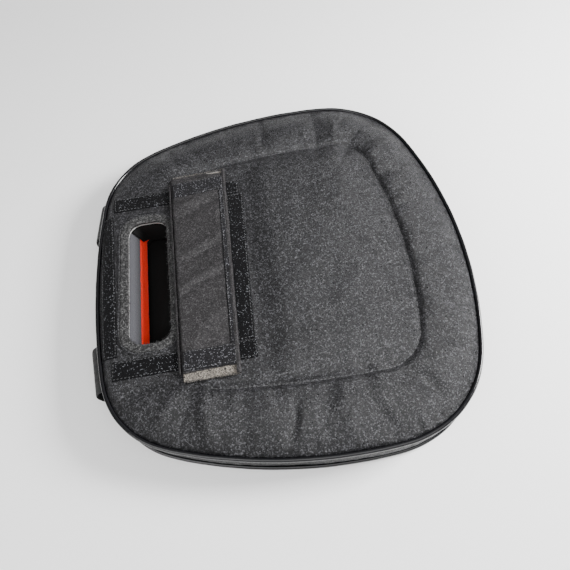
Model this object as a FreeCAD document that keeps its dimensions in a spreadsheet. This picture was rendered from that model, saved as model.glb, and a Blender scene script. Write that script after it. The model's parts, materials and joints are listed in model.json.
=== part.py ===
import FreeCAD, Part
import math
import os

import Sketcher

# Kick shield: a laminated foam pad in a sewn woven cover, with a hand slot near its narrow end,
# a hook-and-loop flap that folds over the slot, and two webbing straps on the back.
# Frame, in millimetres: the shield lies on its back, +Z out of the struck face, +X from the
# narrow end to the wide end, the origin at the middle of the back face.  Left is +Y.

os.makedirs("parts", exist_ok=True)
doc = FreeCAD.newDocument("KickShield")
sheet = doc.addObject("Spreadsheet::Sheet", "Sizes")

SIZES = [
    ("pad_length", 396.0, "seam to seam, narrow end to wide end"),
    ("pad_width", 434.0, "seam to seam across the widest place"),
    ("pad_widest", 47.0, "the widest place, from the middle towards the wide end"),
    ("pad_narrow_radius", 826.0, "curve of the narrow end"),
    ("pad_wide_radius", 467.0, "curve of the wide end"),
    ("pad_side_radius", 501.0, "curve of the two long sides"),
    ("pad_narrow_corner", 91.0, "corner radius at the narrow end"),
    ("pad_wide_corner", 104.0, "corner radius at the wide end"),
    ("fabric", 1.0, "woven cover with its coating"),
    ("foam_gap", 0.2, "slack between the foam and the side wall"),
    ("wall_height", 35.0, "between the two piping beads"),
    ("core_foam_height", 9.0, "stiff middle foam"),
    ("upper_foam_height", 18.0, "striking side foam"),
    ("front_crown", 6.0, "front panel above its seam"),
    ("rim_flat", 0.5, "straight part of the panel's rim, under its rounding"),
    ("bead_size", 4.4, "piping bead"),
    ("bead_round", 0.48, "rounding of the bead, as a share of its size"),
    ("flange_thickness", 0.8, "piping flange caught in the seam"),
    ("flange_width", 8.0, "piping flange, seam allowance"),
    ("slot_width", 46.0, "hand slot, across the hand"),
    ("slot_length", 150.0, "hand slot, along the hand"),
    ("slot_lean", 12.0, "how far the slot leans to the wide end on its way down"),
    ("binding_thickness", 1.0, "binding folded over the slot's cut edge"),
    ("binding_width", 8.0, "binding seen from the front"),
    ("binding_height", 0.7, "binding above the facing"),
    ("facing_width", 11.0, "stitched facing ring round the slot"),
    ("facing_height", 0.5, "facing ring above the panel"),
    ("tape_width", 20.0, "loop and hook tape"),
    ("tape_thickness", 1.2, "loop and hook tape"),
    ("tape_frame_start", 17.0, "narrow end seam to the two side loop tapes"),
    ("tape_frame_margin", 8.5, "facing ring to the two side loop tapes"),
    ("inner_tape_show", 13.5, "inner loop tape seen beside the open flap"),
    ("end_tape_start", 5.5, "narrow end seam to the end loop tape"),
    ("end_tape_width", 16.0, "end loop tape, its other edge is caught in the seam"),
    ("end_tape_gap", 4.5, "end loop tape to the two side loop tapes"),
    ("tape_joint", 0.5, "gap where two tapes butt"),
    ("flap_overhang", 14.5, "flap beyond the loop frame, at each end"),
    ("flap_width", 66.0, "flap from its hinge to its free edge"),
    ("hinge_setback", 7.0, "slot's edge to the flap's hinge line"),
    ("flap_fabric", 0.8, "flap cover and lining"),
    ("flap_core", 2.2, "flap stiffener and turned hem"),
    ("flap_hem_width", 5.0, "turned hem round the stiffener"),
    ("flap_clearance", 0.3, "open or closed, flap to whatever lies under it"),
    ("flap_hook_setback", 11.0, "flap's end to its end hook tape"),
    ("edge_hook_width", 9.0, "hook tape along the free edge"),
    ("hinge_gap", 0.5, "hinge line to the flap's stiff part"),
    ("hinge_strip_width", 9.0, "strip that sews the flap to the front"),
    ("strap_width", 50.0, "webbing"),
    ("strap_thickness", 2.0, "webbing"),
    ("strap_spread", 188.0, "between the two straps' middles at the wall"),
    ("strap_bulge", 3.6, "how far a strap stands out beyond the beads"),
    ("strap_bend", 5.0, "bend radius of the webbing's middle"),
    ("strap_run", 150.0, "strap along the back, from the wall"),
    ("strap_clearance", 0.3, "channel round the strap, and the strap's end under a bead"),
    ("bead_clearance", 0.2, "strap to the back bead that it passes under"),
    ("backing_size", 60.0, "reinforcing patch inside the back panel"),
    ("backing_overhang", 5.0, "patch beyond the strap's sewn end"),
    ("quilt_end_margin", 61.0, "wide end seam to the quilted line"),
    ("quilt_side_margin", 19.5, "flap's end to the quilted line, at its widest place"),
    ("quilt_widest", 60.0, "widest place of the quilted line"),
    ("quilt_wide_radius", 560.0, "quilted line towards the wide end"),
    ("quilt_side_radius", 1040.0, "quilted line along the sides"),
    ("quilt_corner", 45.0, "corners of the quilted line"),
    ("quilt_start", 108.0, "narrow end seam to where the quilted line starts"),
    ("stitch_width", 1.0, "sewing thread line"),
    ("stitch_height", 0.4, "sewing thread line"),
]
for row, (alias, number, meaning) in enumerate(SIZES, start=1):
    sheet.set("A%d" % row, meaning)
    sheet.set("B%d" % row, str(number))
    sheet.setAlias("B%d" % row, alias)
doc.recompute()

# Heights and places worked out from the sizes, as expressions over the sheet.
BACK_TOP = ("(Sizes.strap_thickness + Sizes.bead_clearance"
            " + (Sizes.bead_size - Sizes.flange_thickness) / 2)")
CAVITY_LOW = "(%s + Sizes.flange_thickness)" % BACK_TOP
BACK_SEAM = "(%s + Sizes.flange_thickness / 2)" % BACK_TOP
FRONT_SEAM = "(%s + Sizes.wall_height)" % BACK_SEAM
CAVITY_TOP = "(%s - Sizes.flange_thickness / 2)" % FRONT_SEAM
PANEL_LOW = "(%s + Sizes.flange_thickness / 2)" % FRONT_SEAM
PANEL_TOP = "(%s + Sizes.front_crown)" % PANEL_LOW
UPPER_LOW = "(%s - Sizes.upper_foam_height)" % CAVITY_TOP
CORE_LOW = "(%s - Sizes.core_foam_height)" % UPPER_LOW
NARROW_X = "(-Sizes.pad_length / 2)"
SLOT_SETBACK = ("(Sizes.end_tape_start + Sizes.end_tape_width + Sizes.tape_joint"
                " + Sizes.facing_width + Sizes.slot_width / 2)")
SLOT_X = "(%s + %s)" % (NARROW_X, SLOT_SETBACK)
SLOT_REACH = "((Sizes.slot_length - Sizes.slot_width) / 2)"
ARM_Y = "(Sizes.slot_length / 2 + Sizes.facing_width + Sizes.tape_frame_margin)"
HINGE_X = "(%s + Sizes.slot_width / 2 + Sizes.hinge_setback)" % SLOT_X
FLAP_X = "(%s + Sizes.hinge_gap)" % HINGE_X
FLAP_Y = "(%s + Sizes.tape_width + Sizes.flap_overhang)" % ARM_Y
TAPE_TOP = "(%s + Sizes.tape_thickness)" % PANEL_TOP
FLAP_LOW = "(%s + Sizes.flap_clearance)" % TAPE_TOP
FLAP_HEIGHT = "(2 * Sizes.flap_fabric + Sizes.flap_core + Sizes.tape_thickness)"

# The seam's outline and the quilted line have the same eight arcs, of different sizes.
OUTLINES = {
    "pad": {
        "length": "Sizes.pad_length",
        "width": "Sizes.pad_width",
        "widest": "Sizes.pad_widest",
        "narrow_radius": "Sizes.pad_narrow_radius",
        "wide_radius": "Sizes.pad_wide_radius",
        "side_radius": "Sizes.pad_side_radius",
        "narrow_corner": "Sizes.pad_narrow_corner",
        "wide_corner": "Sizes.pad_wide_corner",
    },
    "quilt": {
        "length": "(Sizes.pad_length - 2 * Sizes.quilt_end_margin)",
        "width": "(2 * (%s + Sizes.quilt_side_margin))" % FLAP_Y,
        "widest": "Sizes.quilt_widest",
        "narrow_radius": "Sizes.pad_narrow_radius",
        "wide_radius": "Sizes.quilt_wide_radius",
        "side_radius": "Sizes.quilt_side_radius",
        "narrow_corner": "Sizes.quilt_corner",
        "wide_corner": "Sizes.quilt_corner",
    },
}

nodes = []


def value(expression):
    """The number that an expression over the sheet gives."""
    result = sheet.evalExpression(expression.replace("Sizes.", ""))
    return float(getattr(result, "Value", result))


def bind(thing, **expressions):
    """Binds properties to expressions; a double underscore stands for a dot."""
    for name, expression in expressions.items():
        thing.setExpression(name.replace("__", "."), expression)
    return thing


def node(thing, label):
    """Marks an object as a sub-part, named by its label."""
    thing.Label = label
    nodes.append(thing)
    return thing


# ---------------------------------------------------------------- sketches

def new_body(name):
    return doc.addObject("PartDesign::Body", name)


def level_sketch(body, name, height):
    """A sketch on the body's own XY plane, raised to a height."""
    sketch = body.newObject("Sketcher::SketchObject", name)
    plane = [f for f in body.Origin.OriginFeatures if f.Role == "XY_Plane"][0]
    sketch.AttachmentSupport = (plane, [""])
    sketch.MapMode = "FlatFace"
    return bind(sketch, AttachmentOffset__Base__z=height)


def constrain(sketch, expression, kind, *where):
    """A driving size in a sketch, bound to its expression."""
    index = sketch.addConstraint(Sketcher.Constraint(kind, *where, value(expression)))
    sketch.setExpression("Constraints[%d]" % index, expression)


def circle_crossing(first, first_radius, second, second_radius, right_side):
    """Where two circles cross above the X axis, on the side asked for."""
    gap = second - first
    along = (first_radius ** 2 - second_radius ** 2 + gap.Length ** 2) / (2 * gap.Length)
    off = math.sqrt(first_radius ** 2 - along ** 2)
    across = FreeCAD.Vector(-gap.y, gap.x, 0).normalize() * off
    foot = first + gap * (along / gap.Length)
    choices = [p for p in (foot + across, foot - across) if p.y > 0]
    return max(choices, key=lambda p: p.x if right_side else -p.x)


def outline_arcs(outline):
    """Centre, radius and name of each arc of the rounded outline, from the wide end on."""
    def size(name):
        return value(OUTLINES[outline][name])
    narrow = FreeCAD.Vector(size("narrow_radius") - size("length") / 2, 0, 0)
    wide = FreeCAD.Vector(size("length") / 2 - size("wide_radius"), 0, 0)
    left = FreeCAD.Vector(size("widest"), size("width") / 2 - size("side_radius"), 0)
    wide_corner = circle_crossing(
        wide, size("wide_radius") - size("wide_corner"),
        left, size("side_radius") - size("wide_corner"), True)
    narrow_corner = circle_crossing(
        narrow, size("narrow_radius") - size("narrow_corner"),
        left, size("side_radius") - size("narrow_corner"), False)

    def mirrored(point):
        return FreeCAD.Vector(point.x, -point.y, 0)
    order = [(wide, "wide_radius"), (wide_corner, "wide_corner"), (left, "side_radius"),
             (narrow_corner, "narrow_corner"), (narrow, "narrow_radius"),
             (mirrored(narrow_corner), "narrow_corner"), (mirrored(left), "side_radius"),
             (mirrored(wide_corner), "wide_corner")]
    return [(centre, size(name), name) for centre, name in order]


def draw_outline(sketch, outline, inset="0"):
    """The rounded outline as eight tangent arcs, drawn in from the seam by the inset."""
    arcs = outline_arcs(outline)
    sizes = OUTLINES[outline]
    joints = []
    for (centre, radius, _), (next_centre, next_radius, _) in zip(arcs, arcs[1:] + arcs[:1]):
        larger, smaller = (centre, next_centre) if radius > next_radius else (next_centre, centre)
        direction = (smaller - larger).normalize()
        joints.append(direction)
    first = sketch.GeometryCount
    up = FreeCAD.Vector(0, 0, 1)
    for index, (centre, radius, name) in enumerate(arcs):
        start, end = joints[index - 1], joints[index]
        circle = Part.Circle(centre, up, radius - value(inset))
        angles = [math.atan2(direction.y, direction.x) for direction in (start, end)]
        sketch.addGeometry(Part.ArcOfCircle(circle, angles[0], angles[1]), False)
    count = len(arcs)
    for index in range(count):
        sketch.addConstraint(Sketcher.Constraint(
            "Tangent", first + index, 2, first + (index + 1) % count, 1))
    for index, (centre, radius, name) in enumerate(arcs):
        constrain(sketch, "%s - (%s)" % (sizes[name], inset), "Radius", first + index)
    wide, left, narrow, right = first, first + 2, first + 4, first + 6
    for arc in (wide, narrow):
        sketch.addConstraint(Sketcher.Constraint("PointOnObject", arc, 3, -1))
    half = sizes["length"] + " / 2"
    constrain(sketch, "%s - %s" % (sizes["wide_radius"], half), "DistanceX", wide, 3, -1, 1)
    constrain(sketch, "%s - %s" % (sizes["narrow_radius"], half), "DistanceX", -1, 1, narrow, 3)
    constrain(sketch, sizes["widest"], "DistanceX", -1, 1, left, 3)
    constrain(sketch, sizes["widest"], "DistanceX", -1, 1, right, 3)
    rise = "%s - %s / 2" % (sizes["side_radius"], sizes["width"])
    constrain(sketch, rise, "DistanceY", left, 3, -1, 1)
    constrain(sketch, rise, "DistanceY", -1, 1, right, 3)


def draw_slot(sketch, grow="0"):
    """The obround hand slot, larger all round by the growth."""
    centre_x = value(SLOT_X)
    reach = value(SLOT_REACH)
    radius = value("Sizes.slot_width / 2 + (%s)" % grow)
    first = sketch.GeometryCount
    up = FreeCAD.Vector(0, 0, 1)
    for side, turn in ((1, 0), (-1, math.pi)):
        circle = Part.Circle(FreeCAD.Vector(centre_x, side * reach, 0), up, radius)
        sketch.addGeometry(Part.ArcOfCircle(circle, turn, turn + math.pi), False)
    for side in (-1, 1):
        x = centre_x + side * radius
        sketch.addGeometry(Part.LineSegment(FreeCAD.Vector(x, -side * reach, 0),
                                            FreeCAD.Vector(x, side * reach, 0)), False)
    upper, lower, low_x, high_x = range(first, first + 4)
    loop = (upper, low_x, lower, high_x)
    for one, other in zip(loop, loop[1:] + loop[:1]):
        sketch.addConstraint(Sketcher.Constraint("Tangent", one, 2, other, 1))
    sketch.addConstraint(Sketcher.Constraint("Symmetric", upper, 3, lower, 3, -1))
    sketch.addConstraint(Sketcher.Constraint("Equal", upper, lower))
    constrain(sketch, "Sizes.slot_width / 2 + (%s)" % grow, "Radius", upper)
    constrain(sketch, "Sizes.pad_length / 2 - %s" % SLOT_SETBACK, "DistanceX",
              upper, 3, -1, 1)
    constrain(sketch, SLOT_REACH, "DistanceY", -1, 1, upper, 3)


# ---------------------------------------------------------------- features

def pad(body, sketch, name, length):
    feature = body.newObject("PartDesign::Pad", name)
    feature.Profile = sketch
    bind(feature, Length=length)
    doc.recompute()
    return feature


def fillet(body, base, name, radius, height, outer=True):
    """Rounds the outer or the inner closed edge that lies at a height."""
    level = value(height)
    edges = []
    for index, edge in enumerate(base.Shape.Edges, start=1):
        box = edge.BoundBox
        if abs(box.ZMin - level) < 1e-4 and abs(box.ZMax - level) < 1e-4:
            edges.append((index, edge))
    rings = Part.sortEdges([edge for _, edge in edges])
    rings.sort(key=lambda ring: Part.Wire(ring).BoundBox.DiagonalLength)
    ring = rings[-1] if outer else rings[0]
    names = ["Edge%d" % index for index, edge in edges if any(edge.isSame(e) for e in ring)]
    feature = body.newObject("PartDesign::Fillet", name)
    feature.Base = (base, names)
    bind(feature, Radius=radius)
    doc.recompute()
    return feature


def slab(label, inset, low, height):
    """A flat layer of the pad between two levels."""
    body = new_body(label)
    outline = level_sketch(body, label + "_outline", low)
    draw_outline(outline, "pad", inset)
    pad(body, outline, label + "_pad", height)
    return body


def box(label, x, y, z, length, width, height):
    """A flat rectangular piece."""
    piece = doc.addObject("Part::Box", label)
    return bind(piece, Length=length, Width=width, Height=height,
                Placement__Base__x=x, Placement__Base__y=y, Placement__Base__z=z)


def cut(label, base, tool):
    piece = doc.addObject("Part::Cut", label)
    piece.Base = base
    piece.Tool = tool
    doc.recompute()
    return piece


# ---------------------------------------------------------------- foam and wadding

# The three foam layers are glued in a stack.  The slot goes through them on a slant.
slot_tool_sketch = level_sketch(new_body("slot_profile"), "slot_profile_sketch", CAVITY_TOP)
draw_slot(slot_tool_sketch)
slot_depth = "(%s - %s)" % (CAVITY_TOP, CAVITY_LOW)
slot_tool = doc.addObject("Part::Extrusion", "slot_tool")
slot_tool.Base = slot_tool_sketch
slot_tool.DirMode = "Custom"
slot_tool.Solid = True
slope = "sqrt(Sizes.slot_lean ^ 2 + %s ^ 2)" % slot_depth
slot_tool.Dir = FreeCAD.Vector(value("Sizes.slot_lean"), 0, -value(slot_depth))
bind(slot_tool, LengthFwd="(%s) * 1 mm" % slope)
doc.recompute()

FOAM_INSET = "Sizes.fabric + Sizes.foam_gap"
layers = [
    ("lower_foam", CAVITY_LOW, "%s - %s" % (CORE_LOW, CAVITY_LOW)),
    ("core_foam", CORE_LOW, "Sizes.core_foam_height"),
    ("upper_foam", UPPER_LOW, "Sizes.upper_foam_height"),
]
for label, low, height in layers:
    layer = slab(label + "_layer", FOAM_INSET, low, height)
    node(cut(label, layer, slot_tool), label)

# Wadding fills the crown of the front panel, and the slot's binding lines its hole.
hole_body = new_body("hole_profile")
hole_sketch = level_sketch(hole_body, "hole_profile_sketch", PANEL_LOW)
draw_slot(hole_sketch, "Sizes.binding_thickness")
pad(hole_body, hole_sketch, "hole_pad", "Sizes.front_crown")


def crown(label, inset, height, radius):
    """A layer with a rounded rim, standing on the front seam."""
    body = slab(label, inset, PANEL_LOW, height)
    fillet(body, body.Tip, label + "_rim", radius, "%s + %s" % (PANEL_LOW, height))
    return body


PANEL_RADIUS = "(Sizes.front_crown - Sizes.rim_flat)"
WADDING_HEIGHT = "(Sizes.front_crown - Sizes.fabric)"
WADDING_RADIUS = "(%s - Sizes.fabric)" % PANEL_RADIUS
filling = crown("wadding_crown", "Sizes.fabric", WADDING_HEIGHT, WADDING_RADIUS)
node(cut("front_wadding", filling, hole_body), "front_wadding")

# ---------------------------------------------------------------- cover panels

# Front panel: one woven skin, crowned over the wadding, with a hole for the slot.
skin = crown("panel_crown", "0", "Sizes.front_crown", PANEL_RADIUS)
hollow = crown("panel_hollow", "Sizes.fabric", WADDING_HEIGHT, WADDING_RADIUS)
node(cut("front_panel", cut("front_skin", skin, hollow), hole_body), "front_panel")

# Side wall: the gusset that joins the two panels all round.
wall = new_body("side_wall")
wall_sketch = level_sketch(wall, "wall_outline", CAVITY_LOW)
draw_outline(wall_sketch, "pad")
draw_outline(wall_sketch, "pad", "Sizes.fabric")
pad(wall, wall_sketch, "wall_pad", "%s - %s" % (CAVITY_TOP, CAVITY_LOW))
node(wall, "side_wall")


def piping(label, seam):
    """A round bead outside the seam, and the flat flange that the seam holds."""
    body = new_body(label)
    flange = level_sketch(body, label + "_flange_outline",
                          "%s - Sizes.flange_thickness / 2" % seam)
    draw_outline(flange, "pad", "-Sizes.bead_size / 2")
    draw_outline(flange, "pad", "Sizes.flange_width")
    pad(body, flange, label + "_flange", "Sizes.flange_thickness")
    bead = level_sketch(body, label + "_bead_outline", "%s - Sizes.bead_size / 2" % seam)
    draw_outline(bead, "pad", "-Sizes.bead_size")
    draw_outline(bead, "pad")
    ring = pad(body, bead, label + "_bead", "Sizes.bead_size")
    lower = fillet(body, ring, label + "_lower_round", "Sizes.bead_size * Sizes.bead_round",
                   "%s - Sizes.bead_size / 2" % seam)
    fillet(body, lower, label + "_upper_round", "Sizes.bead_size * Sizes.bead_round",
           "%s + Sizes.bead_size / 2" % seam)
    node(body, label)


piping("front_piping", FRONT_SEAM)
piping("back_piping", BACK_SEAM)

# ---------------------------------------------------------------- straps and back panel


def wall_place(side):
    """Where a strap's middle meets the side wall, and the direction out of the wall there."""
    y = value("Sizes.strap_spread / 2")
    arcs = outline_arcs("pad")
    corner, corner_radius = arcs[3][0], arcs[3][1]
    narrow, narrow_radius = arcs[4][0], arcs[4][1]
    meeting = narrow + (corner - narrow).normalize() * narrow_radius
    centre, radius = (corner, corner_radius) if y > meeting.y else (narrow, narrow_radius)
    x = centre.x - math.sqrt(radius ** 2 - (y - centre.y) ** 2)
    outward = math.degrees(math.atan2(side * (y - centre.y), x - centre.x))
    return FreeCAD.Placement(FreeCAD.Vector(x, side * y, 0),
                             FreeCAD.Rotation(FreeCAD.Vector(0, 0, 1), outward + 180))


def rounded_path(points, radius):
    """Straight runs joined by tangent arcs of one radius."""
    edges = []
    start = points[0]
    for before, corner, after in zip(points, points[1:], points[2:]):
        back = (before - corner).normalize()
        ahead = (after - corner).normalize()
        half = back.getAngle(ahead) / 2
        reach = radius / math.tan(half)
        middle = corner + (back + ahead).normalize() * (radius / math.sin(half) - radius)
        entry, leave = corner + back * reach, corner + ahead * reach
        edges.append(Part.LineSegment(start, entry).toShape())
        edges.append(Part.Arc(entry, middle, leave).toShape())
        start = leave
    edges.append(Part.LineSegment(start, points[-1]).toShape())
    return Part.Wire(edges)


def strap(label, side):
    """Webbing from under the front bead, out over the back bead and along the back."""
    thickness = value("Sizes.strap_thickness")
    width = value("Sizes.strap_width")
    half = thickness / 2
    gap = value("Sizes.strap_clearance")
    top = value("%s - Sizes.bead_size / 2" % FRONT_SEAM) - gap - half
    out = -value("Sizes.bead_size + Sizes.strap_bulge") - half
    drop = value("Sizes.wall_height") / 3
    path = rounded_path([
        FreeCAD.Vector(-half - gap, 0, top),
        FreeCAD.Vector(out, 0, top - drop),
        FreeCAD.Vector(out, 0, half),
        FreeCAD.Vector(value("Sizes.strap_run"), 0, half),
    ], value("Sizes.strap_bend"))
    start = path.Edges[0]
    along = start.tangentAt(start.FirstParameter)
    across = FreeCAD.Vector(0, 1, 0) * (width / 2)
    thick = along.cross(FreeCAD.Vector(0, 1, 0)) * half
    first = start.valueAt(start.FirstParameter)
    corners = [first + across + thick, first - across + thick,
               first - across - thick, first + across - thick]
    section = Part.makePolygon(corners + corners[:1])
    piece = doc.addObject("Part::Feature", label)
    piece.Shape = path.makePipeShell([section], True, False)
    piece.Placement = wall_place(side)
    return node(piece, label)


def channel(label, side):
    """The trough that the strap's weight leaves in the soft back panel."""
    piece = doc.addObject("Part::Box", label)
    bind(piece, Length="Sizes.strap_run + Sizes.strap_width + Sizes.strap_clearance",
         Width="Sizes.strap_width + 2 * Sizes.strap_clearance",
         Height="2 * Sizes.strap_thickness")
    doc.recompute()
    shift = FreeCAD.Placement(
        FreeCAD.Vector(-value("Sizes.strap_width"), -piece.Width.Value / 2,
                       -value("Sizes.strap_thickness")), FreeCAD.Rotation())
    piece.Placement = wall_place(side).multiply(shift)
    return piece


def backing(label, side):
    """A reinforcing patch inside the back panel, where a strap's end is sewn through."""
    piece = doc.addObject("Part::Box", label)
    bind(piece, Length="Sizes.backing_size", Width="Sizes.backing_size",
         Height="Sizes.flange_thickness")
    doc.recompute()
    shift = FreeCAD.Placement(
        FreeCAD.Vector(value("Sizes.strap_run - Sizes.backing_size + Sizes.backing_overhang"),
                       -piece.Width.Value / 2, value(BACK_TOP)), FreeCAD.Rotation())
    piece.Placement = wall_place(side).multiply(shift)
    return node(piece, label)


back_layer = slab("back_layer", "0", "0", BACK_TOP)
for name, side in (("left", 1), ("right", -1)):
    strap("arm_strap_" + name, side)
    backing("strap_backing_" + name, side)
    back_layer = cut("back_panel_" + name, back_layer, channel("strap_channel_" + name, side))
node(back_layer, "back_panel")

# ---------------------------------------------------------------- slot trim

# Facing ring sewn flat round the slot, then a binding folded over the cut edge.
facing = new_body("slot_facing")
facing_sketch = level_sketch(facing, "facing_outline", PANEL_TOP)
draw_slot(facing_sketch, "Sizes.facing_width")
draw_slot(facing_sketch, "Sizes.binding_thickness")
pad(facing, facing_sketch, "facing_pad", "Sizes.facing_height")
node(facing, "slot_facing")

binding = new_body("slot_binding")
sleeve_sketch = level_sketch(binding, "sleeve_outline", PANEL_LOW)
draw_slot(sleeve_sketch, "Sizes.binding_thickness")
draw_slot(sleeve_sketch)
pad(binding, sleeve_sketch, "sleeve_pad",
    "Sizes.front_crown + Sizes.facing_height + Sizes.binding_height")
lip_sketch = level_sketch(binding, "lip_outline", "%s + Sizes.facing_height" % PANEL_TOP)
draw_slot(lip_sketch, "Sizes.binding_width")
draw_slot(lip_sketch)
pad(binding, lip_sketch, "lip_pad", "Sizes.binding_height")
node(binding, "slot_binding")

# ---------------------------------------------------------------- loop tapes on the front

FRAME_X = "(%s + Sizes.tape_frame_start)" % NARROW_X
FRAME_END_X = "(%s + Sizes.flap_width + Sizes.inner_tape_show)" % FLAP_X
for name, low_y in (("left", ARM_Y), ("right", "-%s - Sizes.tape_width" % ARM_Y)):
    node(box("loop_tape_" + name, FRAME_X, low_y, PANEL_TOP,
             "%s - %s" % (FRAME_END_X, FRAME_X), "Sizes.tape_width", "Sizes.tape_thickness"),
         "loop_tape_" + name)
END_Y = "(%s - Sizes.end_tape_gap)" % ARM_Y
node(box("loop_tape_end", "%s + Sizes.end_tape_start" % NARROW_X, "-%s" % END_Y, PANEL_TOP,
         "Sizes.end_tape_width", "2 * %s" % END_Y, "Sizes.tape_thickness"), "loop_tape_end")
INNER_Y = "(%s - Sizes.tape_joint)" % ARM_Y
node(box("loop_tape_inner", "%s - Sizes.tape_width" % FRAME_END_X, "-%s" % INNER_Y, PANEL_TOP,
         "Sizes.tape_width", "2 * %s" % INNER_Y, "Sizes.tape_thickness"), "loop_tape_inner")

# The strip that sews the flap's root to the front, beside the facing ring.
STRIP_X = "(%s + Sizes.slot_width / 2 + Sizes.facing_width + Sizes.tape_joint)" % SLOT_X
node(box("flap_hinge_strip", STRIP_X, "-%s" % INNER_Y, PANEL_TOP, "Sizes.hinge_strip_width",
         "2 * %s" % INNER_Y, "Sizes.tape_thickness"), "flap_hinge_strip")

# ---------------------------------------------------------------- flap, lying open

FLAP_LENGTH = "(2 * %s)" % FLAP_Y
CORE_Z = "(%s + Sizes.flap_fabric)" % FLAP_LOW
LINING_Z = "(%s + Sizes.flap_core)" % CORE_Z
HOOK_Z = "(%s + Sizes.flap_fabric)" % LINING_Z
node(box("flap_outer", FLAP_X, "-%s" % FLAP_Y, FLAP_LOW,
         "Sizes.flap_width", FLAP_LENGTH, "Sizes.flap_fabric"), "flap_outer")
node(box("flap_lining", FLAP_X, "-%s" % FLAP_Y, LINING_Z,
         "Sizes.flap_width", FLAP_LENGTH, "Sizes.flap_fabric"), "flap_lining")


def flap_core(name):
    """The flap's middle, inside the turned hem."""
    return box(name, "%s + Sizes.flap_hem_width" % FLAP_X,
               "-%s + Sizes.flap_hem_width" % FLAP_Y, CORE_Z,
               "Sizes.flap_width - 2 * Sizes.flap_hem_width",
               "%s - 2 * Sizes.flap_hem_width" % FLAP_LENGTH, "Sizes.flap_core")


node(flap_core("flap_stiffener"), "flap_stiffener")
hem = box("flap_hem_blank", FLAP_X, "-%s" % FLAP_Y, CORE_Z,
          "Sizes.flap_width", FLAP_LENGTH, "Sizes.flap_core")
node(cut("flap_hem", hem, flap_core("flap_hem_hollow")), "flap_hem")

# Hook tape: one at each end of the flap, and a narrow one along its free edge between them.
HOOK_Y = "(%s - Sizes.flap_hook_setback - Sizes.tape_width)" % FLAP_Y
for name, low_y in (("left", HOOK_Y), ("right", "-%s - Sizes.tape_width" % HOOK_Y)):
    node(box("hook_tape_" + name, FLAP_X, low_y, HOOK_Z,
             "Sizes.flap_width", "Sizes.tape_width", "Sizes.tape_thickness"),
         "hook_tape_" + name)
node(box("hook_tape_edge", "%s + Sizes.flap_width - Sizes.edge_hook_width" % FLAP_X,
         "-%s + Sizes.tape_joint" % HOOK_Y, HOOK_Z, "Sizes.edge_hook_width",
         "2 * (%s - Sizes.tape_joint)" % HOOK_Y, "Sizes.tape_thickness"), "hook_tape_edge")

# ---------------------------------------------------------------- quilted line

# One row of thread that holds the wadding down; it stops under the flap's two ends.
quilt = new_body("quilt_loop")
quilt_sketch = level_sketch(quilt, "quilt_outline", PANEL_TOP)
draw_outline(quilt_sketch, "quilt")
draw_outline(quilt_sketch, "quilt", "Sizes.stitch_width")
pad(quilt, quilt_sketch, "quilt_pad", "Sizes.stitch_height")
covered = box("quilt_end", "-Sizes.pad_length", "-Sizes.pad_width", "0",
              "Sizes.pad_length / 2 + Sizes.quilt_start", "2 * Sizes.pad_width",
              "2 * %s" % PANEL_TOP)
node(cut("quilting_stitch", quilt, covered), "quilting_stitch")

# ---------------------------------------------------------------- check and write

doc.recompute()
for thing in doc.Objects:
    if "Invalid" in thing.State or "Error" in thing.State:
        raise RuntimeError("%s failed: %s" % (thing.Label, thing.State))
for thing in nodes:
    shape = thing.Shape
    if shape.isNull() or not shape.isValid() or not shape.Solids:
        raise RuntimeError("%s has no valid solid" % thing.Label)
    shape.exportStep("parts/%s.step" % thing.Label)
    print("%-22s %10.1f mm3  %d solid" % (thing.Label, shape.Volume, len(shape.Solids)))
hinge_z = value("%s + %s / 2" % (FLAP_LOW, FLAP_HEIGHT))
print("flap hinge at x %.2f, z %.2f mm" % (value(HINGE_X), hinge_z))
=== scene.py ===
import json
import math
import random

import bmesh
import bpy
import numpy as np
from mathutils import Matrix, Vector, noise
from mathutils.bvhtree import BVHTree
from mathutils.geometry import convex_hull_2d


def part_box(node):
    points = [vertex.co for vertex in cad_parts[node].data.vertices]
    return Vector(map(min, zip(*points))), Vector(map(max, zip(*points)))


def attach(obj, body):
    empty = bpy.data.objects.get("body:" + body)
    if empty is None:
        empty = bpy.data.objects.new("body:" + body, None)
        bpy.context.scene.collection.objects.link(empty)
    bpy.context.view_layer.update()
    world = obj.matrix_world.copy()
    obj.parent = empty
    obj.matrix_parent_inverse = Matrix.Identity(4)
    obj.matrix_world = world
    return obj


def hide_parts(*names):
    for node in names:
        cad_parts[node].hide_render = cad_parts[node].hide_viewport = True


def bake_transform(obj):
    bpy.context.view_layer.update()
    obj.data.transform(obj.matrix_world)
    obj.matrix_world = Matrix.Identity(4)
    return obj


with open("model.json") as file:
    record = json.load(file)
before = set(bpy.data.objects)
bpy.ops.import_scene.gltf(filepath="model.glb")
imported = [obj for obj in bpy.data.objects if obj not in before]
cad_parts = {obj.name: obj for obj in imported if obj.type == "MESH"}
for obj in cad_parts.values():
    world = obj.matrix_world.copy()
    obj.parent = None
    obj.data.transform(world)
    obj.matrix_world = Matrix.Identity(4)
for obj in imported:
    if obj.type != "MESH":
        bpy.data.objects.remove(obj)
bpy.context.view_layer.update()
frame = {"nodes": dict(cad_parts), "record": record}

# ------------------------------------------------------------------ camera, floor and light
# The shield is seen from above its right-hand side, close up, lying on its back on a pale
# floor.  A large soft lamp stands beyond its wide end, so the cloth shines towards the viewer.

wall_low, wall_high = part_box("side_wall")
SEAM_Z = wall_high.z + 0.0004
EYE = Vector((-0.0089, -0.3036, SEAM_Z + 0.4643))
LOOK = Vector((0.01999, 0.49851, -0.86665))
RIGHT = Vector((0.98538, -0.15649, -0.06729))
LENS = 31.8
BRIGHT_SIDE = (0.68, -0.50, 0.53)
DIM_SKY, BRIGHT_SKY = 0.16, 0.80
FLOOR_REACH = 4.0
FLOOR_DROP = 0.0006

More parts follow.
